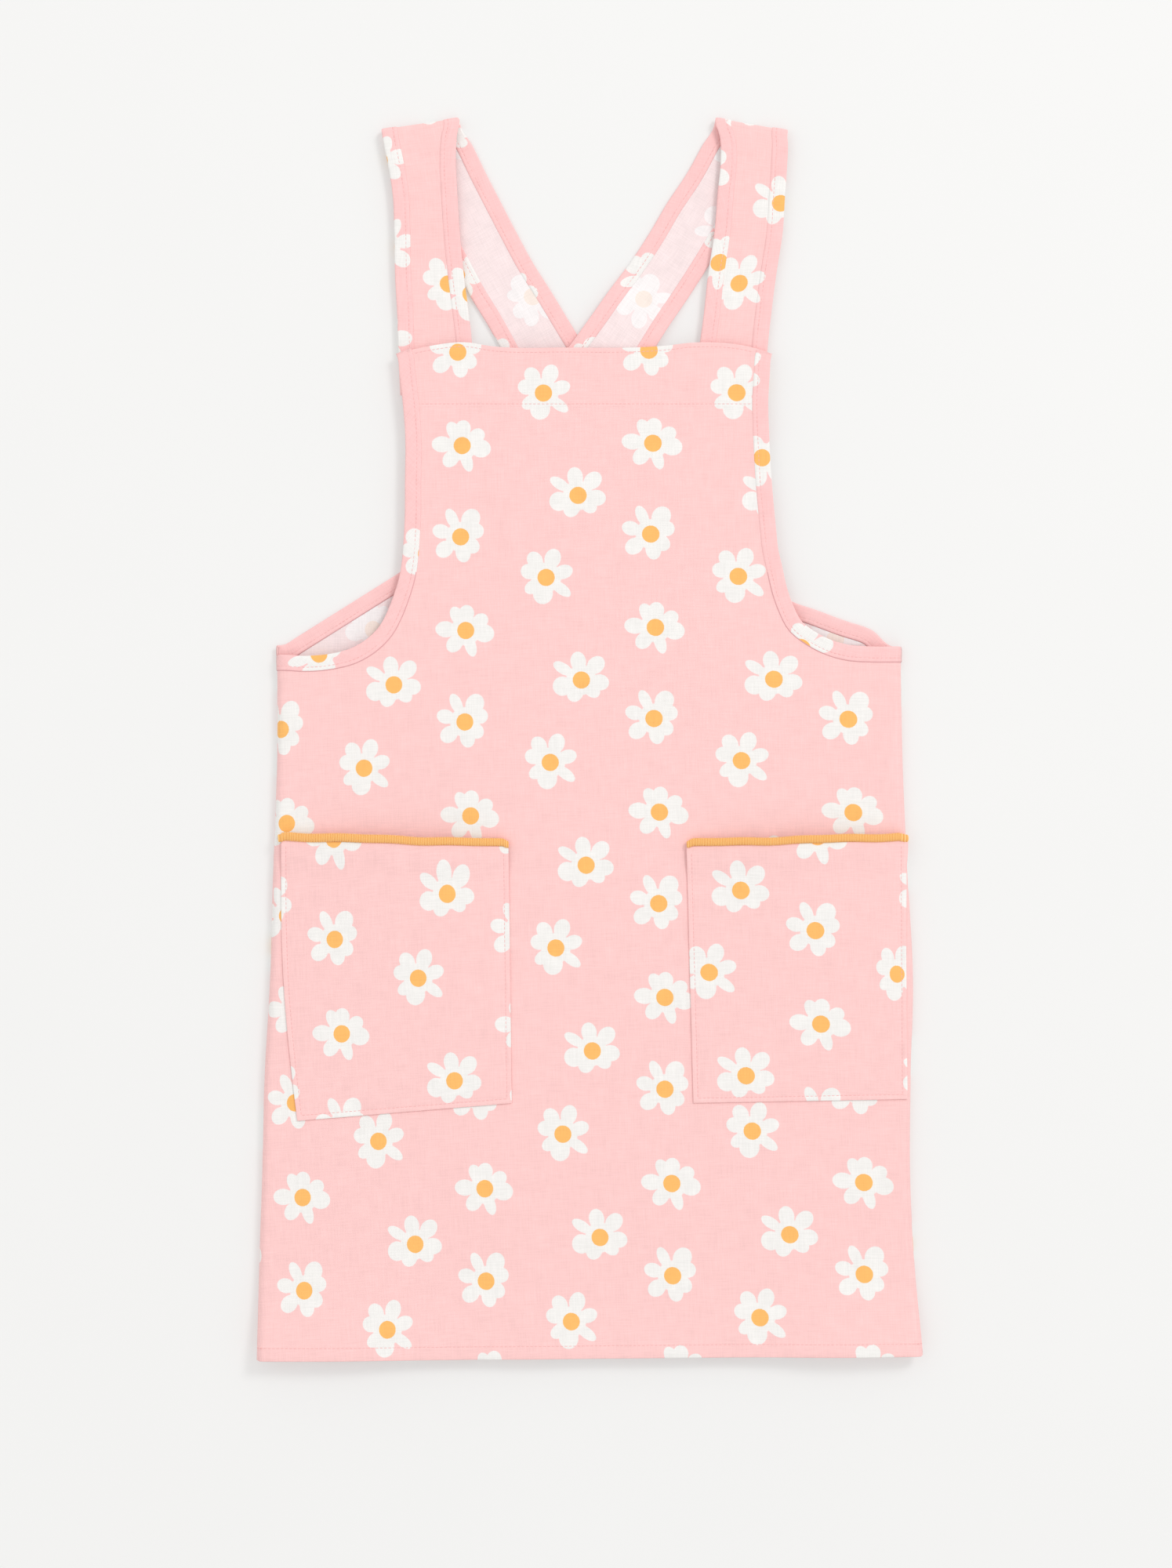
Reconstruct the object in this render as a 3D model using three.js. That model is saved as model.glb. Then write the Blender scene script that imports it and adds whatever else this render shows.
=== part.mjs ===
// Cross back apron, lying face up on a flat surface. A bib and skirt front, two back panels, and
// two straps that fold over at the shoulders and cross behind the bib. Lengths are in millimetres.
// X runs across the apron, Y from the hem up to the shoulders, and Z up from the surface.
import * as THREE from 'three';

// Cloth and sewing
const cloth = 1.0;          // wall of one layer of cloth
const sewingGap = 0.3;      // free space between pieces that are sewn together
const bandWall = 1.0;       // wall of a folded binding
const bandWidth = 9.4;      // width of a binding on the face of the cloth
const bibHem = 44;          // depth of the turned hem along the top of the bib
const skirtHem = 10;        // depth of the turned hem along the bottom

// Skirt
const skirtLength = 492;    // from the hem to the underarm
const chestWidth = 433;     // folded width at the underarm
const hemWidth = 466;       // folded width at the hem
const hollow = 7;           // clear height between the front and the back
const backGap = 50;         // opening between the two back panels
const backShift = -10;      // where the middle of that opening lies
const backHemRise = 2;      // how far the back hem lies above the front hem

// Bib and armholes
const bibWidth = 260;
const bibLength = 220;      // from the underarm to the top of the bib
const armholeDepth = 77;    // height over which the armhole curves out to the side
const bibRise = { start: 10, end: 40 };  // the front rises to the bib from this far above the
                                         // underarm to this far above the armhole

// Straps
const strapWidth = 52;
const strapDrop = 160;      // from the shoulder fold to the top of the bib
const strapTuck = 36;       // length of strap that is sewn behind the bib hem
const strapBackDrop = 244;  // from the shoulder fold to the seam on the back panel
const shoulderSpan = 180;   // between the neck corners of the two shoulder folds
const shoulderShift = -2;   // where the middle between them lies
const strapRise = 1.1;      // how much higher the strap lies at the shoulder than behind the bib

// Pockets
const pocketWidth = 158;
const pocketHeight = 189;
const pocketSpacing = 125;  // between the two pockets along their mouths
const pocketShift = 5;      // where the middle between them lies
const pocketMouthUp = 362;  // from the hem to the inner corner of a pocket mouth
const pocketBulge = 5.5;    // how far the middle of a mouth stands open
const trimWall = 1.4;
const trimWidth = 6.0;
const trimOverhang = 2.0;   // how far a trim passes the sides of its pocket

// Half the width of the folded skirt: 0 is half the chest width and 1 is half the hem width.
const sideFlare = [
  { up: 0.00, left: 1.00, right: 1.00 },
  { up: 0.15, left: 0.92, right: 0.62 },
  { up: 0.26, left: 0.81, right: 0.46 },
  { up: 0.40, left: 0.71, right: 0.48 },
  { up: 0.54, left: 0.48, right: 0.58 },
  { up: 0.70, left: 0.34, right: 0.34 },
  { up: 0.85, left: 0.18, right: 0.14 },
  { up: 1.00, left: 0.17, right: 0.06 },
];

// Sides of the bib from the start of the armhole to the top, as shares of half the bib width.
const bibSides = [
  { up: 0.00, left: 1.007, right: 1.010 },
  { up: 0.15, left: 0.998, right: 0.993 },
  { up: 0.31, left: 0.997, right: 0.977 },
  { up: 0.56, left: 0.996, right: 0.962 },
  { up: 0.72, left: 1.010, right: 0.957 },
  { up: 0.86, left: 1.028, right: 0.966 },
  { up: 1.00, left: 1.045, right: 0.977 },
];

// Top edge of the bib from side to side: how far it dips, as a share of the bib length.
const bibTopEdge = [
  { across: 0.00, dip: 0.033 },
  { across: 0.08, dip: 0.012 },
  { across: 0.19, dip: 0.000 },
  { across: 0.24, dip: 0.010 },
  { across: 0.45, dip: 0.016 },
  { across: 0.72, dip: 0.010 },
  { across: 0.80, dip: 0.000 },
  { across: 0.95, dip: 0.015 },
  { across: 1.00, dip: 0.033 },
];

// Front armhole from the bib side out to the side fold: how far down, as shares of its depth.
const armhole = [
  { out: 0.03, left: 0.250, right: 0.140 },
  { out: 0.08, left: 0.430, right: 0.370 },
  { out: 0.13, left: 0.570, right: 0.520 },
  { out: 0.20, left: 0.710, right: 0.660 },
  { out: 0.30, left: 0.820, right: 0.745 },
  { out: 0.43, left: 0.905, right: 0.820 },
  { out: 0.60, left: 0.955, right: 0.875 },
  { out: 0.80, left: 0.975, right: 0.890 },
  { out: 1.00, left: 0.965, right: 0.890 },
];

// Upper edge of a back panel from the side fold to the strap: how far up, as shares of the way.
const backEdge = [
  { across: 0.00, left: 0.000, right: 0.000 },
  { across: 0.10, left: 0.083, right: 0.093 },
  { across: 0.22, left: 0.165, right: 0.145 },
  { across: 0.35, left: 0.280, right: 0.205 },
  { across: 0.46, left: 0.374, right: 0.255 },
  { across: 0.56, left: 0.472, right: 0.355 },
  { across: 0.66, left: 0.585, right: 0.505 },
  { across: 0.78, left: 0.720, right: 0.672 },
  { across: 0.89, left: 0.855, right: 0.837 },
  { across: 1.00, left: 1.000, right: 1.000 },
];

// Front part of each strap from behind the bib up to the shoulder fold. down is a share of the
// strap drop, inward and width are shares of the strap width, lean is the slope across in degrees.
const strapFront = {
  left: [
    { down: 1.12, inward: 0.21, width: 1.00, lean: 0.0 },
    { down: 1.00, inward: 0.18, width: 1.00, lean: 0.0 },
    { down: 0.88, inward: 0.14, width: 0.97, lean: 0.0 },
    { down: 0.70, inward: 0.07, width: 0.93, lean: 0.0 },
    { down: 0.50, inward: 0.01, width: 0.88, lean: 1.0 },
    { down: 0.34, inward: -0.02, width: 0.87, lean: 3.0 },
    { down: 0.20, inward: -0.04, width: 0.91, lean: 6.0 },
    { down: 0.08, inward: -0.02, width: 1.00, lean: 8.0 },
  ],
  right: [
    { down: 1.12, inward: 0.26, width: 0.92, lean: 0.0 },
    { down: 1.00, inward: 0.22, width: 0.92, lean: 0.0 },
    { down: 0.88, inward: 0.17, width: 0.91, lean: 0.0 },
    { down: 0.70, inward: 0.11, width: 0.92, lean: 0.0 },
    { down: 0.50, inward: 0.02, width: 0.92, lean: 1.0 },
    { down: 0.34, inward: -0.02, width: 0.91, lean: 3.0 },
    { down: 0.20, inward: -0.06, width: 0.90, lean: 6.0 },
    { down: 0.08, inward: -0.04, width: 0.94, lean: 9.0 },
  ],
};

// Back part of each strap from the shoulder fold to the back panel. down is a share of its drop,
// inward of the shoulder span, width of the strap width, and lean is the slope across in degrees.
const strapBack = {
  left: [
    { down: 0.00, inward: 0.000, width: 1.06, lean: 8.5 },
    { down: 0.13, inward: 0.083, width: 0.98, lean: 24.0 },
    { down: 0.29, inward: 0.194, width: 0.96, lean: 29.0 },
    { down: 0.42, inward: 0.288, width: 0.96, lean: 29.0 },
    { down: 0.52, inward: 0.374, width: 0.97, lean: 29.5 },
    { down: 0.63, inward: 0.463, width: 1.00, lean: 30.0 },
    { down: 0.78, inward: 0.592, width: 1.00, lean: 32.0 },
    { down: 0.91, inward: 0.722, width: 0.99, lean: 33.0 },
    { down: 1.00, inward: 0.813, width: 0.98, lean: 34.0 },
  ],
  right: [
    { down: 0.00, inward: 0.000, width: 0.99, lean: 9.9 },
    { down: 0.13, inward: 0.086, width: 0.92, lean: 28.0 },
    { down: 0.28, inward: 0.217, width: 0.92, lean: 33.0 },
    { down: 0.37, inward: 0.287, width: 0.91, lean: 33.5 },
    { down: 0.47, inward: 0.386, width: 0.93, lean: 34.0 },
    { down: 0.63, inward: 0.540, width: 0.98, lean: 35.5 },
    { down: 0.77, inward: 0.682, width: 1.00, lean: 35.5 },
    { down: 0.91, inward: 0.823, width: 1.02, lean: 35.0 },
    { down: 1.00, inward: 0.915, width: 1.03, lean: 36.0 },
  ],
};

// The right strap lies over the left one where they cross: shares of the strap's back drop.
const crossing = { start: 0.40, full: 0.56, leave: 0.92, end: 1.00 };

// Corners of each pocket, measured from its inner top corner in shares of its width and height.
const pocketCorners = {
  left: {
    innerTop: { out: 0.000, up: 0.000 },
    outerTop: { out: 1.000, up: 0.024 },
    outerBottom: { out: 0.930, up: -1.020 },
    innerBottom: { out: -0.014, up: -0.955 },
    bow: 0.026,
    overhang: 1,
  },
  right: {
    innerTop: { out: 0.000, up: 0.000 },
    outerTop: { out: 0.948, up: 0.023 },
    outerBottom: { out: 0.958, up: -0.940 },
    innerBottom: { out: 0.031, up: -0.954 },
    bow: 0.000,
    overhang: 0,
  },
};

// Soft waves in the front: place and reach as shares of the hem width and the skirt length,
// height as a share of the hollow.
const waves = [
  { across: -0.34, up: 0.00, wide: 0.10, tall: 0.12, height: 0.28 },
  { across: -0.08, up: 0.00, wide: 0.08, tall: 0.16, height: 0.20 },
  { across: 0.14, up: 0.00, wide: 0.09, tall: 0.14, height: 0.16 },
  { across: 0.36, up: 0.00, wide: 0.09, tall: 0.12, height: 0.26 },
  { across: 0.02, up: 0.45, wide: 0.12, tall: 0.20, height: -0.10 },
  { across: -0.15, up: 0.85, wide: 0.14, tall: 0.12, height: 0.12 },
  { across: 0.20, up: 0.98, wide: 0.12, tall: 0.14, height: 0.10 },
];

// Mesh steps
const skirtRows = [0.14, 0.28, 0.42, 0.55, 0.67, 0.78, 0.87, 0.93, 0.97, 1];
const foldSteps = 4;
const backRows = 7;
const bibColumns = 6;
const strapFoldSteps = 8;
const strapBackSteps = 12;
const strapColumns = 3;
const pocketColumns = 8;
const pocketRows = 9;
const trimSteps = 14;
const layerStep = 0.4;      // width of the step where a turned hem ends
const probe = 0.05;         // distance used to measure a slope
const liftFlat = 18;        // how far from its edge a bound panel stays at the height of its binding
const liftEnd = 46;         // how far from its edge it rests flat again

// Heights of the middle of each cloth
const edgeInset = bandWall + sewingGap;
const bandHalf = cloth / 2 + sewingGap + bandWall;
const trimHalf = cloth / 2 + sewingGap + trimWall;
const backHeight = cloth / 2;
const skirtHeight = backHeight + cloth + hollow;
const foldRadius = (skirtHeight - backHeight) / 2;
const strapLow = bandHalf;
const strapStep = 2 * bandHalf + sewingGap;
const bibHeight = strapLow + strapStep + bandHalf + 1.3 * sewingGap + 1.5 * cloth;
const tuckHeight = bibHeight - 2 * bandHalf - 1.3 * sewingGap;
const shoulderHeight = tuckHeight + strapRise;

const bibTop = skirtLength + bibLength;
const shoulderUp = bibTop + strapDrop;
const armholeTop = skirtLength + armholeDepth;
const inwards = { left: 1, right: -1 };

const mix = THREE.MathUtils.lerp;
const ease = THREE.MathUtils.smoothstep;

// Value of one column of a table at a place between its rows.
function lookUp(table, key, column, place) {
  let next = table.findIndex((row) => row[key] >= place);
  if (next === -1) next = table.length - 1;
  if (next === 0) return table[0][column];
  const low = table[next - 1];
  const high = table[next];
  const share = THREE.MathUtils.clamp((place - low[key]) / (high[key] - low[key]), 0, 1);
  return mix(low[column], high[column], share);
}

function skirtHalf(side, y) {
  const up = THREE.MathUtils.clamp(y / skirtLength, 0, 1);
  return mix(chestWidth, hemWidth, lookUp(sideFlare, 'up', side, up)) / 2;
}

// Distance from the middle at which the cloth starts to turn round the side fold.
function flatHalf(side, y) {
  return skirtHalf(side, y) - cloth / 2 - foldRadius;
}

// Distance along the cloth at which the front ends and the back begins.
function seamAlong(side, y) {
  return flatHalf(side, y) + foldRadius * Math.PI / 2 - sewingGap / 2;
}

// Place across and angle round the fold of a point that lies a distance along the cloth.
function roundFold(side, along, y) {
  const flat = flatHalf(side, y);
  const past = Math.abs(along) - flat;
  if (past <= 0) return { x: along, turn: 0 };
  const turn = past / foldRadius;
  return { x: Math.sign(along) * (flat + foldRadius * Math.sin(turn)), turn };
}

function waveHeight(x, y) {
  let height = 0;
  for (const wave of waves) {
    const dx = (x / hemWidth - wave.across) / wave.wide;
    const dy = (y / skirtLength - wave.up) / wave.tall;
    height += hollow * wave.height * Math.exp(-dx * dx - dy * dy);
  }
  return height;
}

// Surfaces give the middle of a cloth: a point for each place along it and up it.
function frontPoint(along, y) {
  const side = along < 0 ? 'left' : 'right';
  const { x, turn } = roundFold(side, along, y);
  const level = mix(skirtHeight, bibHeight, ease(y, skirtLength + bibRise.start, armholeTop + bibRise.end));
  const calm = 1 - ease(Math.abs(x) / flatHalf(side, y), 0.8, 0.97);
  const drop = foldRadius * (1 - Math.cos(turn));
  return new THREE.Vector3(x, y, level + calm * waveHeight(x, y) - drop);
}

function surfaceNormal(surface, u, v) {
  const across = surface(u + probe, v).sub(surface(u - probe, v));
  const up = surface(u, v + probe).sub(surface(u, v - probe));
  return across.cross(up).normalize();
}

// A closed mesh from points and triangles, turned so that its faces point out.
function closedMesh(name, material, points, triangles) {
  let volume = 0;
  for (const [a, b, c] of triangles) {
    volume += points[a].dot(points[b].clone().cross(points[c]));
  }
  const outward = volume > 0 ? triangles : triangles.map(([a, b, c]) => [a, c, b]);
  const geometry = new THREE.BufferGeometry();
  geometry.setAttribute('position',
    new THREE.Float32BufferAttribute(points.flatMap((point) => point.toArray()), 3));
  geometry.setIndex(outward.flat());
  geometry.computeVertexNormals();
  const mesh = new THREE.Mesh(geometry, material);
  mesh.name = name;
  return mesh;
}

// A cloth wall round a middle surface. Each vertex has a point, a normal and its layers above
// and below, and the quads join the vertices.
function clothWall(name, material, vertices, quads) {
  const points = [];
  for (const { point, normal, above } of vertices) {
    points.push(point.clone().addScaledVector(normal, cloth / 2 + cloth * above));
  }
  for (const { point, normal, below } of vertices) {
    points.push(point.clone().addScaledVector(normal, -cloth / 2 - cloth * below));
  }
  const count = vertices.length;
  const triangles = [];
  const edges = new Map();
  for (const [a, b, c, d] of quads) {
    triangles.push([a, b, c], [a, c, d]);
    triangles.push([a + count, c + count, b + count], [a + count, d + count, c + count]);
    for (const [from, to] of [[a, b], [b, c], [c, d], [d, a]]) {
      const back = `${to} ${from}`;
      if (edges.has(back)) edges.delete(back);
      else edges.set(`${from} ${to}`, [from, to]);
    }
  }
  for (const [from, to] of edges.values()) {
    triangles.push([from, from + count, to + count], [from, to + count, to]);
  }
  return closedMesh(name, material, points, triangles);
}

// A band folded over an edge. Each station gives the point and normal of the cloth at a distance
// in from its edge.
function foldedBand(name, material, stations, width, wall) {
  const inner = cloth / 2 + sewingGap;
  const outer = inner + wall;
  const outside = -sewingGap - wall;
  const profile = [
    [width, outer], [outside, outer], [outside, -outer], [width, -outer],
    [width, -inner], [-sewingGap, -inner], [-sewingGap, inner], [width, inner],
  ];
  const points = [];
  for (const station of stations) {
    const edge = station(0);
    const inward = station(1).point.sub(edge.point).normalize();
    for (const [distance, height] of profile) {
      const base = distance > 0 ? station(distance) : edge;
      const point = base.point.clone().addScaledVector(base.normal, height);
      if (distance < 0) point.addScaledVector(inward, distance);
      points.push(point);
    }
  }
  const corners = profile.length;
  const triangles = [];
  for (let row = 0; row + 1 < stations.length; row += 1) {
    for (let corner = 0; corner < corners; corner += 1) {
      const a = row * corners + corner;
      const b = row * corners + (corner + 1) % corners;
      triangles.push([a, b, b + corners], [a, b + corners, a + corners]);
    }
  }
  const outline = profile.map(([distance, height]) => new THREE.Vector2(distance, height));
  const last = (stations.length - 1) * corners;
  for (const [a, b, c] of THREE.ShapeUtils.triangulateShape(outline, [])) {
    triangles.push([a, c, b], [last + a, last + b, last + c]);
  }
  return closedMesh(name, material, points, triangles);
}

// Points moved to one side of a line by a distance.
function offsetLine(points, distance) {
  return points.map((point, place) => {
    const before = points[Math.max(place - 1, 0)];
    const after = points[Math.min(place + 1, points.length - 1)];
    const way = after.clone().sub(before).normalize();
    return new THREE.Vector2(point.x + way.y * distance, point.y - way.x * distance);
  });
}

// Stations for a band along a line on a surface, with the cloth to the given side of the line.
function bandStations(surface, line, toCloth) {
  return line.map((point, place) => {
    const before = line[Math.max(place - 1, 0)];
    const after = line[Math.min(place + 1, line.length - 1)];
    const way = after.clone().sub(before).normalize();
    return (distance) => {
      const u = point.x + way.y * toCloth * distance;
      const v = point.y - way.x * toCloth * distance;
      return { point: surface(u, v), normal: surfaceNormal(surface, u, v) };
    };
  });
}

// Outline of the front at one side, from the top of the bib down to the side seam.
const bibRowsUp = [1.0, 0.88, 0.76, 0.56, 0.31, 0.15, 0.0];

function frontSideLine(side) {
  const sign = -inwards[side];
  const line = [];
  for (const up of bibRowsUp) {
    const dip = up === 1 ? bibLength * bibTopEdge[0].dip : 0;
    const half = bibWidth / 2 * lookUp(bibSides, 'up', side, up);
    line.push(new THREE.Vector2(sign * half, mix(armholeTop, bibTop, up) - dip));
  }
  const start = bibWidth / 2 * bibSides[0][side];
  for (const row of armhole) {
    const y = armholeTop - armholeDepth * row[side];
    line.push(new THREE.Vector2(sign * mix(start, flatHalf(side, y), row.out), y));
  }
  const underarm = underarmUp(side);
  for (let step = 1; step <= foldSteps; step += 1) {
    const along = mix(flatHalf(side, underarm), seamAlong(side, underarm), step / foldSteps);
    line.push(new THREE.Vector2(sign * along, underarm));
  }
  return offsetLine(line, side === 'left' ? -edgeInset : edgeInset);
}

function underarmUp(side) {
  return armholeTop - armholeDepth * armhole[armhole.length - 1][side];
}

const frontLines = { left: frontSideLine('left'), right: frontSideLine('right') };

// The front is a grid of columns from side seam to side seam. The columns of the bib go on above
// the armholes. Both turned hems are a second layer below.
function frontPanel(material) {
  const { left, right } = frontLines;
  const bibRows = bibRowsUp.length;
  const hemSide = bandWidth + sewingGap;
  const armLeft = left.slice(bibRows).reverse();
  const armRight = right.slice(bibRows);
  const cornerLeft = left[bibRows - 1];
  const cornerRight = right[bibRows - 1];
  const span = cornerRight.x - cornerLeft.x;
  const acrossBib = [0, hemSide / span, (hemSide + layerStep) / span];
  for (let column = 1; column < bibColumns; column += 1) acrossBib.push(column / bibColumns);
  acrossBib.push(1 - (hemSide + layerStep) / span, 1 - hemSide / span, 1);
  const bibTops = acrossBib.map((share) => cornerLeft.clone().lerp(cornerRight, share));
  const tops = [...armLeft, ...bibTops, ...armRight];
  const vertices = [];
  const quads = [];
  const addVertex = (along, y, below) => {
    const normal = surfaceNormal(frontPoint, along, y);
    vertices.push({ point: frontPoint(along, y), normal, above: 0, below });
    return vertices.length - 1;
  };

  const grid = tops.map((top) => {
    const seam = -seamAlong('left', top.y);
    const share = (top.x - seam) / (seamAlong('right', top.y) - seam);
    const levels = [0, skirtHem - layerStep, skirtHem];
    for (const share of skirtRows) levels.push(mix(skirtHem, top.y, share));
    return levels.map((y) => {
      const along = mix(-seamAlong('left', y), seamAlong('right', y), share);
      return addVertex(along, y, y < skirtHem ? 1 : 0);
    });
  });
  joinColumns(grid, quads);

  const firstBib = armLeft.length;
  const bibGrid = bibTops.map((top, column) => [grid[firstBib + column].at(-1)]);
  const hemUp = bibTop - bibHem;
  const sideRows = [];
  for (let row = bibRows - 2; row >= 0; row -= 1) {
    sideRows.push({ left: left[row], right: right[row], hem: left[row].y > hemUp });
  }
  const firstHem = sideRows.findIndex((row) => row.hem);
  for (const [rise, hem] of [[layerStep, true], [0, false]]) {
    sideRows.splice(firstHem, 0, {
      left: pointAtHeight(left, hemUp + rise),
      right: pointAtHeight(right, hemUp + rise),
      hem,
    });
  }
  sideRows.forEach((row, place) => {
    const atTop = place === sideRows.length - 1;
    acrossBib.forEach((share, column) => {
      const point = row.left.clone().lerp(row.right, share);
      if (atTop) point.y = bibTop - bibLength * lookUp(bibTopEdge, 'across', 'dip', share);
      const layered = row.hem && column >= 2 && column <= acrossBib.length - 3;
      bibGrid[column].push(addVertex(point.x, point.y, layered ? 1 : 0));
    });
  });
  joinColumns(bibGrid, quads);
  return clothWall('front_panel', material, vertices, quads);
}

// Point where a line that runs downwards passes a height.
function pointAtHeight(line, y) {
  const next = line.findIndex((point) => point.y <= y);
  const high = line[next - 1];
  const low = line[next];
  return low.clone().lerp(high, (y - low.y) / (high.y - low.y));
}

// Quads between neighbouring columns of vertex numbers.
function joinColumns(grid, quads) {
  for (let column = 0; column + 1 < grid.length; column += 1) {
    for (let row = 0; row + 1 < grid[column].length; row += 1) {
      quads.push([grid[column][row], grid[column + 1][row],
        grid[column + 1][row + 1], grid[column][row + 1]]);
    }
  }
}

function armholeBinding(side, material) {
  const stations = bandStations(frontPoint, frontLines[side], side === 'left' ? -1 : 1);
  return foldedBand(`armhole_binding_${side}`, material, stations, bandWidth, bandWall);
}

// Neck and arm ends of a line across a strap.
function strapEnds(side, row, drop, inwardUnit) {
  const corner = shoulderShift - inwards[side] * shoulderSpan / 2;
  const lean = THREE.MathUtils.degToRad(row.lean);
  const neck = new THREE.Vector2(
    corner + inwards[side] * row.inward * inwardUnit, shoulderUp - row.down * drop);
  const width = strapWidth * row.width;
  const arm = new THREE.Vector2(
    neck.x - inwards[side] * width * Math.cos(lean), neck.y - width * Math.sin(lean));
  return { neck, arm };
}

// Lines across a strap from behind the bib, over the shoulder and down to the back panel.
function strapLines(side) {
  const lines = [];
  const addLine = (ends, height) => lines.push({
    neck: new THREE.Vector3(ends.neck.x, ends.neck.y, height),
    arm: new THREE.Vector3(ends.arm.x, ends.arm.y, height),
  });
  const frontRows = [...strapFront[side]];
  frontRows[0] = { ...frontRows[0], down: 1 + (strapTuck - sewingGap) / strapDrop };
  for (const row of frontRows) {
    const height = mix(shoulderHeight, tuckHeight, ease(row.down, 0.2, 1));
    addLine(strapEnds(side, row, strapDrop, strapWidth), height);
  }
  const fold = strapEnds(side, strapBack[side][0], strapBackDrop, shoulderSpan);
  const radius = (shoulderHeight - strapLow) / 2;
  const along = fold.neck.clone().sub(fold.arm).multiplyScalar(inwards[side]).normalize();
  const outward = new THREE.Vector2(-along.y, along.x);
  for (let step = 0; step <= strapFoldSteps; step += 1) {
    const angle = Math.PI * step / strapFoldSteps;
    const reach = radius * Math.sin(angle) - radius - bandHalf;
    addLine({
      neck: fold.neck.clone().addScaledVector(outward, reach),
      arm: fold.arm.clone().addScaledVector(outward, reach),
    }, strapLow + radius * (1 + Math.cos(angle)));
  }
  for (let step = 1; step <= strapBackSteps; step += 1) {
    const down = step / strapBackSteps;
    const row = { down };
    for (const column of ['inward', 'width', 'lean']) {
      row[column] = lookUp(strapBack[side], 'down', column, down);
    }
    const over = ease(down, crossing.start, crossing.full) - ease(down, crossing.leave, crossing.end);
    const height = strapLow + (side === 'right' ? strapStep * over : 0);
    addLine(strapEnds(side, row, strapBackDrop, shoulderSpan), height);
  }
  return lines;
}

const straps = { left: strapLines('left'), right: strapLines('right') };

// Point and normal of a strap on one of its lines, at a distance from the arm side.
function onStrap(side, place, fromArm) {
  const lines = straps[side];
  const line = lines[place];
  const share = fromArm / line.arm.distanceTo(line.neck);
  const at = (other) => other.arm.clone().lerp(other.neck, share);
  const before = at(lines[Math.max(place - 1, 0)]);
  const after = at(lines[Math.min(place + 1, lines.length - 1)]);
  const across = line.neck.clone().sub(line.arm).multiplyScalar(inwards[side]);
  const normal = across.cross(after.sub(before)).normalize();
  return { point: at(line), normal };
}

function strapSpan(side, place) {
  const { arm, neck } = straps[side][place];
  return arm.distanceTo(neck);
}

function strapCloth(side, material) {
  const vertices = [];
  const grid = [];
  for (let column = 0; column <= strapColumns; column += 1) {
    grid.push(straps[side].map((line, place) => {
      const span = strapSpan(side, place);
      const fromArm = mix(edgeInset, span - edgeInset, column / strapColumns);
      vertices.push({ ...onStrap(side, place, fromArm), above: 0, below: 0 });
      return vertices.length - 1;
    }));
  }
  const quads = [];
  joinColumns(grid, quads);
  return clothWall(`strap_${side}`, material, vertices, quads);
}

function strapBinding(name, side, atNeck, material) {
  const stations = straps[side].map((line, place) => (distance) => {
    const fromEdge = edgeInset + distance;
    const fromArm = atNeck ? strapSpan(side, place) - fromEdge : fromEdge;
    return onStrap(side, place, fromArm);
  });
  return foldedBand(name, material, stations, bandWidth, bandWall);
}

// The strap that ends on a back panel comes from the other shoulder.
const otherSide = { left: 'right', right: 'left' };

// Upper edge of a back panel from the side seam to the strap, where its binding folds over, and
// the end of the seam with the strap on the open side.
function backLine(side) {
  const sign = -inwards[side];
  const lines = straps[otherSide[side]];
  const lastLine = lines[lines.length - 1];
  const lineBefore = lines[lines.length - 2];
  const way = lastLine.neck.clone().sub(lineBefore.neck).setZ(0).normalize();
  const neck = lastLine.neck.clone().addScaledVector(way, sewingGap);
  const arm = lastLine.arm.clone().addScaledVector(way, sewingGap);
  const underarm = underarmUp(side);
  const flat = sign * flatHalf(side, underarm);
  const line = [];
  for (let step = foldSteps; step >= 1; step -= 1) {
    const along = mix(Math.abs(flat), seamAlong(side, underarm), step / foldSteps);
    line.push(new THREE.Vector2(sign * along, underarm));
  }
  for (const row of backEdge) {
    line.push(new THREE.Vector2(
      mix(flat, neck.x, row.across), mix(underarm, neck.y, row[side])));
  }
  return {
    edge: offsetLine(line, side === 'left' ? edgeInset : -edgeInset),
    seamEnd: new THREE.Vector2(arm.x, arm.y),
  };
}

const backLines = { left: backLine('left'), right: backLine('right') };

function lineHeight(line, x) {
  const rows = line.map((point) => ({ x: point.x, y: point.y })).sort((a, b) => a.x - b.x);
  return lookUp(rows, 'x', 'y', x);
}

function backSurface(side) {
  return (along, y) => {
    const { x, turn } = roundFold(side, along, y);
    const below = lineHeight(backLines[side].edge, along) - y;
    const lift = (bandHalf - backHeight) * (1 - ease(below, liftFlat, liftEnd));
    const curl = foldRadius * (1 - Math.cos(turn));
    return new THREE.Vector3(x, y, backHeight + lift * Math.cos(turn) ** 2 + curl);
  };
}

// Edge of a back panel along the opening at the back, which bends towards the strap.
function openEdge(side, y) {
  const straight = backShift - inwards[side] * backGap / 2;
  const { seamEnd } = backLines[side];
  return mix(straight, seamEnd.x, ease(y, seamEnd.y - strapWidth * 2, seamEnd.y));
}

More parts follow.
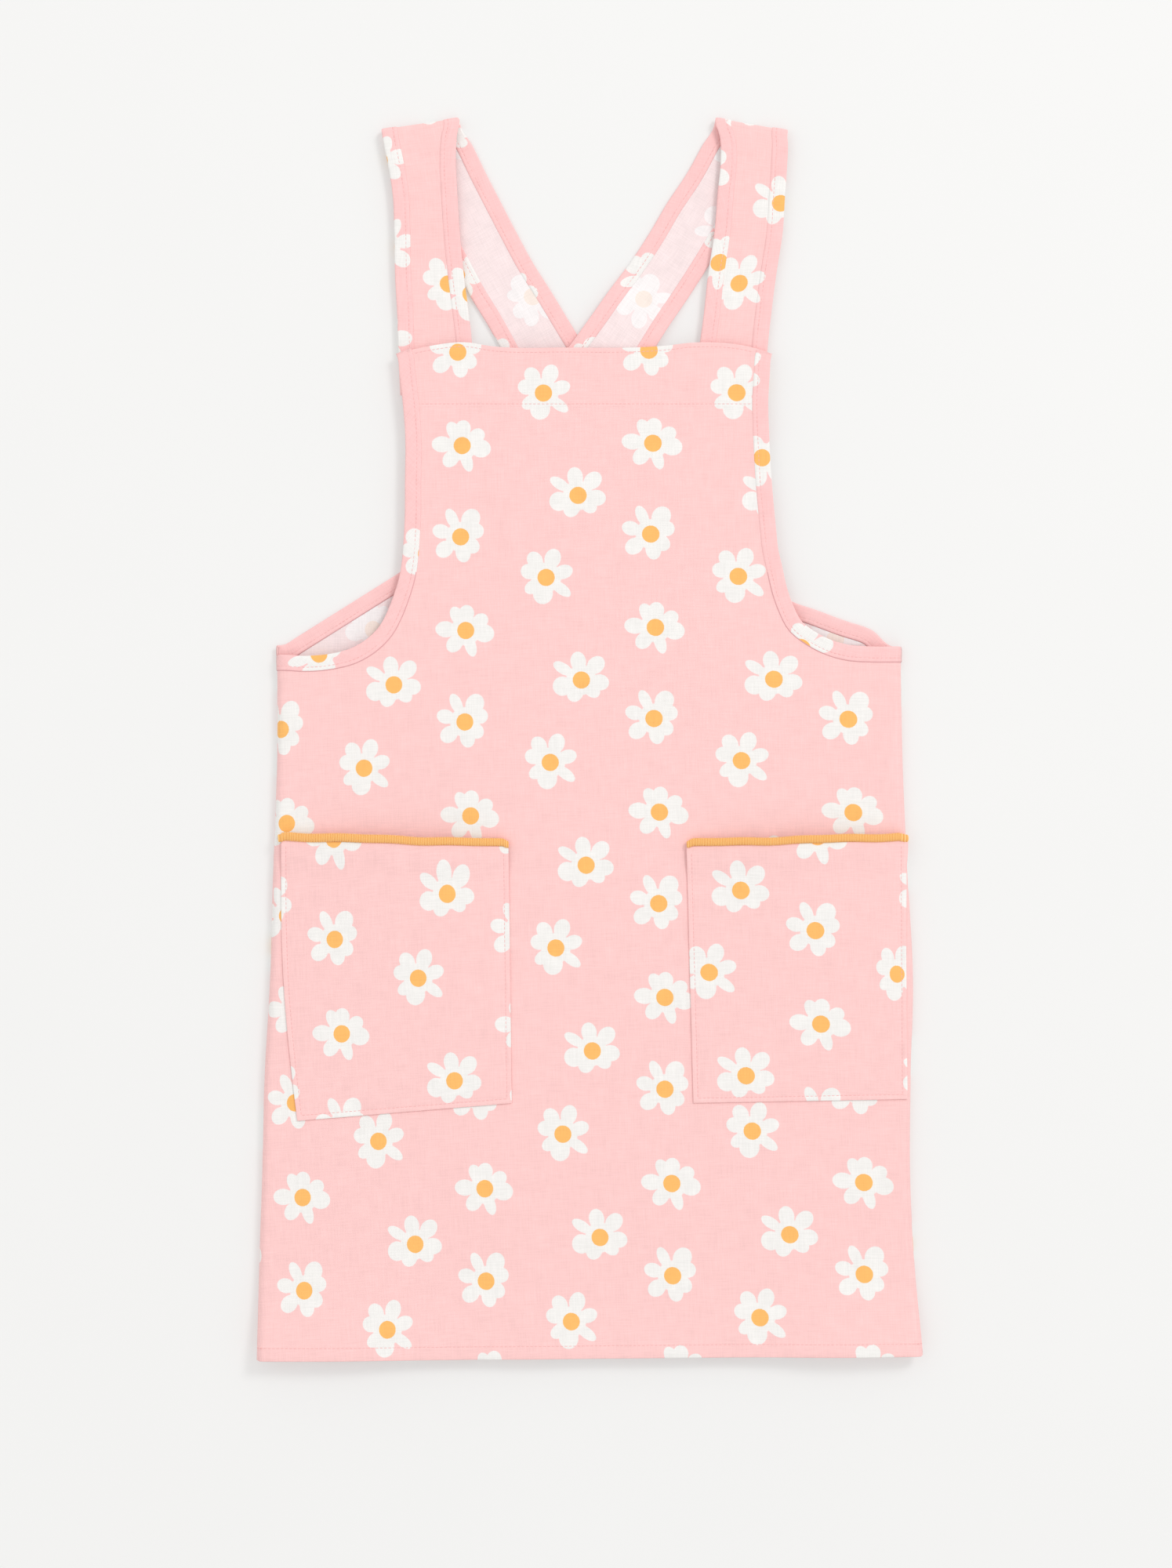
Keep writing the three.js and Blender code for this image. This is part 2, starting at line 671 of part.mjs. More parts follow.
function backPanel(side, material) {
  const sign = -inwards[side];
  const surface = backSurface(side);
  const { edge, seamEnd } = backLines[side];
  const seamStart = edge[edge.length - 1];
  const tops = [...edge, seamStart.clone().lerp(seamEnd, 0.5), seamEnd];
  const vertices = [];
  const grid = tops.map((top) => {
    const seam = sign * seamAlong(side, top.y);
    const share = (top.x - seam) / (openEdge(side, top.y) - seam);
    const hemEnd = backHemRise + skirtHem;
    const levels = [backHemRise, hemEnd - layerStep, hemEnd];
    for (let row = 1; row <= backRows; row += 1) {
      levels.push(mix(hemEnd, top.y - liftEnd, row / backRows));
    }
    levels.push(top.y - (liftFlat + liftEnd) / 2, top.y - liftFlat, top.y);
    return levels.map((y) => {
      const along = mix(sign * seamAlong(side, y), openEdge(side, y), share);
      const normal = surfaceNormal(surface, along, y);
      vertices.push({ point: surface(along, y), normal, above: y < hemEnd ? 1 : 0, below: 0 });
      return vertices.length - 1;
    });
  });
  const quads = [];
  joinColumns(grid, quads);
  return clothWall(`back_panel_${side}`, material, vertices, quads);
}

function backBinding(side, material) {
  const stations = bandStations(backSurface(side), backLines[side].edge, side === 'left' ? 1 : -1);
  return foldedBand(`back_binding_${side}`, material, stations, bandWidth, bandWall);
}

// Place on the front of a point of a pocket, given as shares across from its inner side and up.
function pocketPlace(side, across, up) {
  const corners = pocketCorners[side];
  const row = (bottom, top) => ({
    out: mix(bottom.out, top.out, up),
    up: mix(bottom.up, top.up, up),
  });
  const inner = row(corners.innerBottom, corners.innerTop);
  const outer = row(corners.outerBottom, corners.outerTop);
  const rise = THREE.MathUtils.clamp(up, 0, 1);
  const bow = corners.bow * Math.sin(Math.PI * rise) * across;
  const out = pocketWidth * (mix(inner.out, outer.out, across) + bow);
  const start = pocketShift - inwards[side] * pocketSpacing / 2;
  return new THREE.Vector2(start - inwards[side] * out,
    pocketMouthUp + pocketHeight * mix(inner.up, outer.up, across));
}

function onPocket(side, across, up) {
  const place = pocketPlace(side, across, up);
  const base = frontPoint(place.x, place.y);
  const normal = surfaceNormal(frontPoint, place.x, place.y);
  const width = Math.sin(Math.PI * THREE.MathUtils.clamp(across, 0, 1));
  const bulge = pocketBulge * width * Math.max(up, 0) ** 1.5;
  const lift = (trimWall + sewingGap) * ease(up, 0.86, 0.96);
  return base.addScaledVector(normal, cloth + sewingGap + lift + bulge);
}

function pocketNormal(side, across, up) {
  const surface = (u, v) => onPocket(side, u, v);
  const small = probe / pocketWidth;
  const sideways = surface(across + small, up).sub(surface(across - small, up));
  const upwards = surface(across, up + small).sub(surface(across, up - small));
  return sideways.cross(upwards).multiplyScalar(-inwards[side]).normalize();
}

function pocket(side, material) {
  const vertices = [];
  const grid = [];
  for (let column = 0; column <= pocketColumns; column += 1) {
    const across = column / pocketColumns;
    const ups = [];
    for (let row = 0; row < pocketRows - 1; row += 1) ups.push(0.86 * row / (pocketRows - 2));
    ups.push(0.91, 0.96, 1 - (trimWall + sewingGap) / pocketHeight);
    grid.push(ups.map((up) => {
      const point = onPocket(side, across, up);
      vertices.push({ point, normal: pocketNormal(side, across, up), above: 0, below: 0 });
      return vertices.length - 1;
    }));
  }
  const quads = [];
  joinColumns(grid, quads);
  return clothWall(`pocket_${side}`, material, vertices, quads);
}

function pocketTrim(side, material) {
  const stations = [];
  for (let step = 0; step <= trimSteps; step += 1) {
    const overhang = pocketCorners[side].overhang * trimOverhang / pocketWidth;
    const across = mix(0, 1 + overhang, step / trimSteps);
    stations.push((distance) => {
      const up = 1 - (trimWall + sewingGap + distance) / pocketHeight;
      return { point: onPocket(side, across, up), normal: pocketNormal(side, across, up) };
    });
  }
  return foldedBand(`pocket_trim_${side}`, material, stations, trimWidth, trimWall);
}

const printedCloth = new THREE.MeshStandardMaterial({
  name: 'printed_cloth', color: '#fdcdca', roughness: 0.92, metalness: 0,
});
const bindingCloth = new THREE.MeshStandardMaterial({
  name: 'binding_cloth', color: '#fecac8', roughness: 0.92, metalness: 0,
});
const trimYarn = new THREE.MeshStandardMaterial({
  name: 'trim_yarn', color: '#fbbe73', roughness: 0.85, metalness: 0,
});

const frontGroup = new THREE.Group();
const backGroup = new THREE.Group();
const strapGroup = new THREE.Group();
frontGroup.add(frontPanel(printedCloth));
for (const side of ['left', 'right']) {
  frontGroup.add(armholeBinding(side, bindingCloth));
  frontGroup.add(pocket(side, printedCloth));
  frontGroup.add(pocketTrim(side, trimYarn));
  backGroup.add(backPanel(side, printedCloth));
  backGroup.add(backBinding(side, bindingCloth));
  strapGroup.add(strapCloth(side, printedCloth));
  strapGroup.add(strapBinding(`neck_binding_${side}`, side, true, bindingCloth));
  strapGroup.add(strapBinding(`shoulder_binding_${side}`, side, false, bindingCloth));
}

// The origin is on the surface, below the middle of the apron's box.
const laidOut = new THREE.Group();
laidOut.add(frontGroup, backGroup, strapGroup);
const box = new THREE.Box3().setFromObject(laidOut);
const middle = box.getCenter(new THREE.Vector3());
laidOut.position.set(-middle.x, -middle.y, -box.min.z);
const apron = new THREE.Group();
apron.add(laidOut);

export default apron;
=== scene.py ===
# %% [markdown]
# # A cross back apron of printed linen
# The apron lies face up on a pale table. It is made of flat cloth: a bib and skirt front, two back
# panels, two wide straps and two patch pockets, all edged with folded strips of the same cloth.
# Flat cloth is all about soft light on gentle folds, so every sheet is a fine grid of points that
# follows the way the cloth lies, and the weave and the print are drawn by the material.

# %% Open the frame
import math

import bpy
import numpy as np
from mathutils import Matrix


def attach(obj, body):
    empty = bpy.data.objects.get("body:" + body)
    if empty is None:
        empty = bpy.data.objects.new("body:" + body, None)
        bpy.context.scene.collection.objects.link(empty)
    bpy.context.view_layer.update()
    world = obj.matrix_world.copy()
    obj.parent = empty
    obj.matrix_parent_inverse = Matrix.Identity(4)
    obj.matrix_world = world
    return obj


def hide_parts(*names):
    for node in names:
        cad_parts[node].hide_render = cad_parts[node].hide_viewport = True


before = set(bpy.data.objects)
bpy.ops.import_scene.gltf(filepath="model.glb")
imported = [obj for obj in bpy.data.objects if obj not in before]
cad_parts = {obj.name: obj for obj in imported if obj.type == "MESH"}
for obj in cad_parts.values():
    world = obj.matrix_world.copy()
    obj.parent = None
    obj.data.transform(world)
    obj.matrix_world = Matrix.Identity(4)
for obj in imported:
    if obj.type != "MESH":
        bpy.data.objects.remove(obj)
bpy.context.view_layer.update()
bpy.ops.object.select_all(action="DESELECT")

# %% [markdown]
# ## Camera, table and light
# The picture is taken from straight above, so the camera looks down along Z. A long lens far away
# keeps the edges straight, as a product photograph does. The light is a large soft lamp from the
# upper right with a bright room round it, which leaves only a faint shadow on the left.

# %% Camera
camera_height = 2.4
film_height = 36.0              # millimetres, as in a plain camera
picture_height = 1.100          # metres of table from the bottom of the picture to the top
picture_middle = (-0.003, -0.0318)

bpy.ops.object.camera_add(location=(picture_middle[0], picture_middle[1], camera_height))
camera = bpy.context.object
camera.name = "camera"
camera.data.sensor_fit = "VERTICAL"
camera.data.sensor_height = film_height
camera.data.lens = film_height * camera_height / picture_height
camera.data.clip_end = 20.0
bpy.context.scene.camera = camera
print("lens in millimetres:", round(camera.data.lens, 1))

# %% Table
bpy.ops.mesh.primitive_plane_add(size=6.0, location=(0.0, 0.0, 0.0))
table = bpy.context.object
table.name = "table"

# %% Lamps
def soft_lamp(name, place, size, power, colour):
    """A square lamp, its size in metres and its power in watts, turned towards the apron."""
    bpy.ops.object.light_add(type="AREA", location=place)
    lamp = bpy.context.object
    lamp.name = name
    lamp.data.size = size
    lamp.data.energy = power
    lamp.data.color = colour
    aim = -np.array(place) / np.linalg.norm(place)
    lamp.rotation_euler[0] = math.acos(-aim[2])
    lamp.rotation_euler[2] = math.atan2(-aim[0], aim[1])
    return lamp


soft_lamp("window", (2.9, 2.9, 4.2), 1.6, 92.0, (1.0, 0.99, 0.984))
soft_lamp("fill", (-2.4, 0.6, 3.6), 3.0, 10.0, (0.99, 0.992, 1.0))
room = bpy.data.worlds.new("room")
bpy.context.scene.world = room
room.use_nodes = True
room.node_tree.nodes["Background"].inputs["Color"].default_value = (1.0, 0.995, 0.99, 1.0)
room.node_tree.nodes["Background"].inputs["Strength"].default_value = 0.84
bpy.context.scene.view_settings.view_transform = "Standard"

# %% [markdown]
# ## Helpers for materials
# A material is a chain of nodes. A few small helpers add a node and set or join its inputs, which
# keeps the recipes below short enough to read.

# %% Node helpers
def srgb(red, green, blue):
    """A colour as a screen shows it, 0 to 255, as the plain light values that Blender uses."""
    values = []
    for part in (red, green, blue):
        part = part / 255
        values.append(part / 12.92 if part <= 0.04045 else ((part + 0.055) / 1.055) ** 2.4)
    return (*values, 1.0)


def add_node(tree, kind, place, inputs=None, **settings):
    """A new node. Each input is given a value, or a socket of another node that it is joined to."""
    node = tree.nodes.new(kind)
    node.location = place
    for name, value in settings.items():
        setattr(node, name, value)
    for name, value in (inputs or {}).items():
        if isinstance(value, bpy.types.NodeSocket):
            tree.links.new(value, node.inputs[name])
        else:
            node.inputs[name].default_value = value
    return node


def math_node(tree, operation, place, *values):
    inputs = dict(enumerate(values))
    return add_node(tree, "ShaderNodeMath", place, inputs, operation=operation).outputs[0]


def vector_node(tree, operation, place, *values):
    inputs = dict(enumerate(values))
    return add_node(tree, "ShaderNodeVectorMath", place, inputs, operation=operation).outputs


def noise_node(tree, place, vector, scale, detail, roughness=0.5):
    return add_node(tree, "ShaderNodeTexNoise", place, {
        "Vector": vector, "Scale": scale, "Detail": detail, "Roughness": roughness}).outputs


def range_node(tree, place, value, low, high, at_low, at_high, curve="LINEAR"):
    """Turns what comes in between low and high into a value between at_low and at_high."""
    return add_node(tree, "ShaderNodeMapRange", place, {
        "Value": value, "From Min": low, "From Max": high, "To Min": at_low, "To Max": at_high},
        interpolation_type=curve).outputs[0]


def colour_mix(tree, place, factor, first, second):
    return add_node(tree, "ShaderNodeMix", place, {0: factor, 6: first, 7: second},
                    data_type="RGBA").outputs[2]


def add_bumps(tree, place, shader, height, strength, distance):
    bumps = add_node(tree, "ShaderNodeBump", place, {
        "Height": height, "Strength": strength, "Distance": distance})
    tree.links.new(bumps.outputs[0], shader.inputs["Normal"])


def new_group(name, inputs, outputs):
    group = bpy.data.node_groups.new(name, "ShaderNodeTree")
    for label, kind, value in inputs:
        socket = group.interface.new_socket(label, in_out="INPUT", socket_type=kind)
        if value is not None:
            socket.default_value = value
    for label, kind in outputs:
        group.interface.new_socket(label, in_out="OUTPUT", socket_type=kind)
    start = add_node(group, "NodeGroupInput", (-900, 0))
    end = add_node(group, "NodeGroupOutput", (1200, 0))
    return group, start, end


def place_group(tree, group, place, **values):
    return add_node(tree, "ShaderNodeGroup", place, values, node_tree=group)


def new_material(name):
    material = bpy.data.materials.new(name)
    material.use_nodes = True
    return material, material.node_tree, material.node_tree.nodes["Principled BSDF"]

# %% [markdown]
# ## The daisy print
# The cloth is printed with four loosely drawn daisies that repeat every 132 by 129 mm. Each daisy
# has seven plump petals and a round centre. One way is to draw the repeat as a picture. Here every
# petal is an oval worked out from the place on the cloth, so it stays sharp at any distance. The
# chart gives each petal's turn in degrees, and its distance, half length and half width in mm.

# %% Chart of the four daisies
repeat_wide = 0.1323
repeat_tall = 0.12925

daisy_chart = {
    "daisy one": [
        (119, 11.4, 7.4, 4.7), (86, 11.9, 5.9, 5.4), (32, 12.4, 5.7, 5.0), (-10, 13.2, 7.1, 6.3),
        (-74, 11.1, 7.9, 4.0), (-132, 12.1, 6.6, 5.3), (175, 14.3, 7.2, 5.6),
    ],
    "daisy two": [
        (98, 13.1, 6.9, 5.4), (45, 14.6, 6.9, 5.6), (-8, 13.0, 6.4, 5.6), (-44, 10.0, 6.4, 4.9),
        (-117, 10.0, 6.4, 5.6), (-163, 14.0, 6.6, 6.7), (147, 15.1, 7.5, 3.8),
    ],
    "daisy three": [
        (114, 14.2, 7.4, 4.0), (59, 14.3, 7.4, 6.4), (19, 11.8, 5.3, 5.3), (-40, 9.7, 6.2, 5.3),
        (-82, 11.2, 6.8, 5.3), (-144, 14.2, 6.6, 5.6), (163, 14.2, 6.3, 5.0),
    ],
    "daisy four": [
        (70, 14.1, 6.9, 5.6), (122, 14.3, 6.4, 5.3), (160, 12.8, 5.7, 5.3), (-146, 11.3, 6.3, 4.5),
        (-102, 11.6, 7.3, 6.9), (-38, 13.2, 7.9, 3.8), (17, 12.7, 6.6, 4.9),
    ],
}
daisy_places = {
    "daisy one": (0.0, 0.0),
    "daisy two": (0.0803, -0.0363),
    "daisy three": (-0.0022, -0.0638),
    "daisy four": (0.0572, 0.0358),
}
petal_bed = 0.0104              # radius of the white round the centre where the petals meet
centre_radius = 0.0060
petal_melt = 0.16               # how softly one petal runs into the next

# %% Node group for one daisy
def daisy_group(name, petals):
    group, start, end = new_group(
        name, [("Cloth", "NodeSocketVector", None), ("Place", "NodeSocketVector", None)],
        [("Petals", "NodeSocketFloat"), ("Centre", "NodeSocketFloat")])
    away = vector_node(group, "SUBTRACT", (-700, 0), start.outputs["Cloth"], start.outputs["Place"])
    wrap = vector_node(group, "WRAP", (-520, 0), away[0], (repeat_wide / 2, repeat_tall / 2, 1.0),
                       (-repeat_wide / 2, -repeat_tall / 2, -1.0))
    middle = vector_node(group, "LENGTH", (-340, 300), wrap[0])["Value"]
    nearest = math_node(group, "DIVIDE", (-160, 300), middle, petal_bed)
    for place, (turn, distance, half_length, half_width) in enumerate(petals):
        angle = math.radians(turn)
        oval = add_node(group, "ShaderNodeMapping", (-340, -260 * place), {
            "Vector": wrap[0],
            "Location": (distance / 1000 * math.cos(angle), distance / 1000 * math.sin(angle), 0.0),
            "Rotation": (0.0, 0.0, angle),
            "Scale": (half_length / 1000, half_width / 1000, 1.0)}, vector_type="TEXTURE")
        size = vector_node(group, "LENGTH", (-160, -260 * place), oval.outputs[0])["Value"]
        nearest = math_node(group, "SMOOTH_MIN", (20 + 150 * place, 0), nearest, size, petal_melt)
    centre = math_node(group, "DIVIDE", (900, 300), middle, centre_radius)
    group.links.new(nearest, end.inputs["Petals"])
    group.links.new(centre, end.inputs["Centre"])
    return group

# %% Node group for the whole print
cloth_pink = srgb(253, 206, 204)
petal_white = srgb(244, 242, 239)
centre_orange = srgb(254, 191, 110)
ink_creep = 0.0005              # metres that the ink strays at the edge of a petal

print_group, start, end = new_group(
    "daisy print",
    [("Cloth", "NodeSocketVector", None), ("Ground", "NodeSocketColor", cloth_pink),
     ("Petal", "NodeSocketColor", petal_white), ("Centre", "NodeSocketColor", centre_orange)],
    [("Color", "NodeSocketColor")])
grain = noise_node(print_group, (-700, -300), start.outputs["Cloth"], 1400.0, 1.0)["Color"]
bleed = vector_node(print_group, "MULTIPLY_ADD", (-520, -300), grain,
                    (ink_creep, ink_creep, 0.0), start.outputs["Cloth"])[0]
nearest = {}
for place, (name, chart) in enumerate(daisy_chart.items()):
    daisy = place_group(print_group, daisy_group(name, chart), (-300, 400 - 220 * place),
                        Cloth=bleed, Place=(*daisy_places[name], 0.0))
    for part, level in (("Petals", 300), ("Centre", 0)):
        found = daisy.outputs[part]
        if part in nearest:
            found = math_node(print_group, "MINIMUM", (-100 + 150 * place, level), nearest[part],
                              found)
        nearest[part] = found
petal_mask = range_node(print_group, (550, 300), nearest["Petals"], 0.95, 1.05, 1.0, 0.0,
                        "SMOOTHSTEP")
centre_mask = range_node(print_group, (550, 0), nearest["Centre"], 0.96, 1.05, 1.0, 0.0,
                         "SMOOTHSTEP")
with_petals = colour_mix(print_group, (750, 200), petal_mask, start.outputs["Ground"],
                         start.outputs["Petal"])
with_centres = colour_mix(print_group, (950, 200), centre_mask, with_petals, start.outputs["Centre"])
print_group.links.new(with_centres, end.inputs["Color"])
print("petals charted:", sum(len(chart) for chart in daisy_chart.values()))

# %% [markdown]
# ## The weave
# Linen threads are uneven: each one swells and thins along its length. Close up that is a plain
# over and under weave, and from further away it reads as fine streaks both ways. The weave group
# gives a height for the bumps, and a tint that makes some threads a little lighter or darker.

# %% Node group for the weave
thread_spacing = 0.00055        # metres from one thread to the next
slub_scales = ((70.0, 1150.0, 1.0), (1150.0, 60.0, 1.0))    # threads across, and threads up

weave_group, start, end = new_group(
    "linen weave",
    [("Cloth", "NodeSocketVector", None), ("Thread", "NodeSocketFloat", thread_spacing)],
    [("Height", "NodeSocketFloat"), ("Tint", "NodeSocketFloat")])
slubs = []
for level, scale in zip((300, 0), slub_scales):
    stretch = add_node(weave_group, "ShaderNodeMapping", (-700, level), {
        "Vector": start.outputs["Cloth"], "Scale": scale}).outputs[0]
    slubs.append(noise_node(weave_group, (-500, level), stretch, 1.0, 2.0, 0.6)["Fac"])
streaks = math_node(weave_group, "ADD", (-200, 200), *slubs)
parts = add_node(weave_group, "ShaderNodeSeparateXYZ", (-700, -300), {0: start.outputs["Cloth"]})
waves_two_ways = []
for level, axis in ((-300, "X"), (-460, "Y")):
    turns = math_node(weave_group, "DIVIDE", (-500, level), parts.outputs[axis],
                      start.outputs["Thread"])
    angle = math_node(weave_group, "MULTIPLY", (-340, level), turns, math.pi)
    waves_two_ways.append(math_node(weave_group, "SINE", (-180, level), angle))
over_under = math_node(weave_group, "MULTIPLY", (0, -300), *waves_two_ways)
weave_height = math_node(weave_group, "MULTIPLY_ADD", (200, -100), over_under, 0.35, streaks)
weave_tint = range_node(weave_group, (200, 200), streaks, 0.70, 1.30, 0.935, 1.035)
weave_group.links.new(weave_height, end.inputs["Height"])
weave_group.links.new(weave_tint, end.inputs["Tint"])

# %% [markdown]
# ## The cloth materials
# One recipe makes the face of the cloth, its paler wrong side, where the print only ghosts through,
# and the strips that bind the edges. Each reads the piece's own UV map, which holds the place on
# the flat cloth in metres, so that the print bends and folds with the cloth.

# %% Cloth recipe
def cloth_material(name, ground, petal, centre, mottle=0.02):
    material, tree, shader = new_material(name)
    cloth_map = add_node(tree, "ShaderNodeUVMap", (-1200, 0), uv_map="cloth").outputs[0]
    pattern = place_group(tree, print_group, (-900, 200), Cloth=cloth_map,
                          Ground=ground, Petal=petal, Centre=centre)
    weave = place_group(tree, weave_group, (-900, -100), Cloth=cloth_map)
    cloudy = noise_node(tree, (-900, -400), cloth_map, 90.0, 3.0)["Fac"]
    uneven = range_node(tree, (-700, -400), cloudy, 0.3, 0.7, 1.0 - mottle, 1.0 + mottle)
    shade = math_node(tree, "MULTIPLY", (-500, -200), weave.outputs["Tint"], uneven)
    tinted = add_node(tree, "ShaderNodeVectorMath", (-300, 200), {
        0: pattern.outputs["Color"], "Scale": shade}, operation="SCALE").outputs[0]
    rough = range_node(tree, (-300, -100), weave.outputs["Height"], 0.0, 1.0, 0.82, 0.95)
    tree.links.new(tinted, shader.inputs["Base Color"])
    tree.links.new(rough, shader.inputs["Roughness"])
    add_bumps(tree, (-300, -400), shader, weave.outputs["Height"], 0.35, 0.0003)
    shader.inputs["Specular IOR Level"].default_value = 0.25
    shader.inputs["Sheen Weight"].default_value = 0.12
    shader.inputs["Sheen Roughness"].default_value = 0.5
    return material


printed_face = cloth_material("printed linen face", cloth_pink, petal_white, centre_orange)
wrong_side = cloth_material("linen wrong side", srgb(247, 229, 229), srgb(248, 243, 243),
                            srgb(248, 234, 225), mottle=0.03)
binding_face = cloth_material("binding linen", srgb(253, 203, 202), petal_white, centre_orange)

# %% [markdown]
# ## Thread, yarn and table
# Thread and yarn are one colour that a fine noise makes uneven. Shade is painted on the yarn
# between its ribs, where less light gets in. The table is given a faint painted glow that stands
# in for light from all sides, so that the shadows on it stay pale.

# %% Thread, yarn and table finishes
def plain_fibre(name, colour, darker, scale, rough):
    material, tree, shader = new_material(name)
    place = add_node(tree, "ShaderNodeTexCoord", (-1000, 0)).outputs["Object"]
    noise = noise_node(tree, (-800, 0), place, scale, 3.0)["Fac"]
    tone = colour_mix(tree, (-500, 100), noise, darker, colour)
    tree.links.new(tone, shader.inputs["Base Color"])
    add_bumps(tree, (-300, -300), shader, noise, 0.3, 0.0002)
    shader.inputs["Roughness"].default_value = rough
    shader.inputs["Specular IOR Level"].default_value = 0.25
    return material


pink_thread = plain_fibre("pink thread", srgb(250, 198, 196), srgb(236, 180, 178), 2500.0, 0.8)
# Painted shade: a darker pink for the step beside a band, standing in for the shade in that step.
painted_seam_shade = plain_fibre("painted seam shade", srgb(234, 180, 181), srgb(224, 168, 170), 900.0, 0.9)
yellow_yarn = plain_fibre("yellow yarn", srgb(255, 218, 152), srgb(250, 192, 112), 1400.0, 0.85)
yellow_yarn.node_tree.nodes["Principled BSDF"].inputs["Sheen Weight"].default_value = 0.2
rib_pitch = 1.2                 # millimetres from one rib of the trim to the next


def paint_rib_shade(material, groove):
    """Paints shade on the yarn between its ribs, which run across the strip."""
    tree = material.node_tree
    colour = tree.nodes["Principled BSDF"].inputs["Base Color"]
    yarn = colour.links[0].from_socket
    place = add_node(tree, "ShaderNodeUVMap", (-1200, 500), uv_map="cloth").outputs[0]
    along = add_node(tree, "ShaderNodeSeparateXYZ", (-1000, 500), {0: place}).outputs["X"]
    turns = math_node(tree, "MULTIPLY", (-800, 500), along, 2000 * math.pi / rib_pitch)
    wave = math_node(tree, "COSINE", (-600, 500), turns)
    share = math_node(tree, "MULTIPLY_ADD", (-400, 500), wave, 0.5, 0.5)
    tree.links.new(colour_mix(tree, (-200, 500), share, groove, yarn), colour)


# Painted shade: the yarn is darker between its ribs, where less light gets in.
paint_rib_shade(yellow_yarn, srgb(238, 164, 84))
pale_table = plain_fibre("pale table", srgb(208, 208, 207), srgb(206, 206, 205), 6.0, 0.6)
table_glow_shader = pale_table.node_tree.nodes["Principled BSDF"]
# Painted light: the table glows faintly, though it is no lamp, which keeps its shadows pale.
table_glow_shader.inputs["Emission Color"].default_value = (1.0, 1.0, 0.99, 1.0)
table_glow_shader.inputs["Emission Strength"].default_value = 0.25
table.data.materials.append(pale_table)

# %% [markdown]
# ## Sizes and tables
# These are the sizes of the solid model, in millimetres, with X across the apron and Y from the
# hem up. A pattern cutter keeps the same kind of list. The visible cloth is a little thinner than
# the walls of the solids, and it follows the same middle surfaces.

# %% Sizes
hem_to_middle = 436.03          # the frame's origin lies this far above the hem
cloth, gap, band_wall, band_width = 1.0, 0.3, 1.0, 9.4
skirt_length, chest_width, hem_width = 492.0, 433.0, 466.0
hollow, back_gap, back_shift, back_hem_rise = 7.0, 50.0, -10.0, 2.0
bib_width, bib_length, armhole_depth = 260.0, 220.0, 77.0
strap_width, strap_drop, strap_tuck, strap_back_drop = 52.0, 160.0, 36.0, 244.0
shoulder_span, shoulder_shift, strap_rise = 180.0, -2.0, 1.1
pocket_width, pocket_height, pocket_spacing, pocket_shift = 158.0, 189.0, 125.0, 5.0
pocket_mouth_up, pocket_bulge = 362.0, 5.5
trim_wall, trim_width, trim_overhang = 1.4, 6.0, 2.0
lift_flat, lift_end = 18.0, 46.0

linen = 0.8                     # thickness of the visible cloth
bib_hem, skirt_hem = 44.0, 10.0
hem_step, stitch_dip = 0.20, 0.12       # a hem's second layer, and how deep its stitches pull
stitch_pitch = 3.0
pocket_seam = 3.1               # from a pocket's edge to its stitches
top_inset = 2.4                 # and from the top of the bib to its own

edge_inset = band_wall + gap
band_half = cloth / 2 + gap + band_wall
back_height = cloth / 2
skirt_height = back_height + cloth + hollow
fold_radius = (skirt_height - back_height) / 2
strap_low = band_half
strap_step = 2 * band_half + gap
bib_height = strap_low + strap_step + band_half + 1.3 * gap + 1.5 * cloth
tuck_height = bib_height - 2 * band_half - 1.3 * gap
shoulder_height = tuck_height + strap_rise
bib_top = skirt_length + bib_length
shoulder_up = bib_top + strap_drop
armhole_top = skirt_length + armhole_depth
bib_row = bib_top - bib_hem + 1.8       # height of the stitches in the hem of the bib
hem_row = skirt_hem - 1.6               # and in the bottom hem
sides = ("left", "right")
inwards = {"left": 1.0, "right": -1.0}
other_side = {"left": "right", "right": "left"}

# %% Tables
side_flare = {
    "up": [0.00, 0.15, 0.26, 0.40, 0.54, 0.70, 0.85, 1.00],
    "left": [1.00, 0.92, 0.81, 0.71, 0.48, 0.34, 0.18, 0.17],
    "right": [1.00, 0.62, 0.46, 0.48, 0.58, 0.34, 0.14, 0.06],
}
bib_sides = {
    "up": [0.00, 0.15, 0.31, 0.56, 0.72, 0.86, 1.00],
    "left": [1.007, 0.998, 0.997, 0.996, 1.010, 1.028, 1.045],
    "right": [1.010, 0.993, 0.977, 0.962, 0.957, 0.966, 0.977],
}
bib_top_edge = {
    "across": [0.00, 0.08, 0.19, 0.24, 0.45, 0.72, 0.80, 0.95, 1.00],
    "dip": [0.033, 0.012, 0.000, 0.010, 0.016, 0.010, 0.000, 0.015, 0.033],
}
armhole = {
    "out": [0.03, 0.08, 0.13, 0.20, 0.30, 0.43, 0.60, 0.80, 1.00],
    "left": [0.250, 0.430, 0.570, 0.710, 0.820, 0.905, 0.955, 0.975, 0.965],
    "right": [0.140, 0.370, 0.520, 0.660, 0.745, 0.820, 0.875, 0.890, 0.890],
}
back_edge = {
    "across": [0.00, 0.10, 0.22, 0.35, 0.46, 0.56, 0.66, 0.78, 0.89, 1.00],
    "left": [0.000, 0.083, 0.165, 0.280, 0.374, 0.472, 0.585, 0.720, 0.855, 1.000],
    "right": [0.000, 0.093, 0.145, 0.205, 0.255, 0.355, 0.505, 0.672, 0.837, 1.000],
}
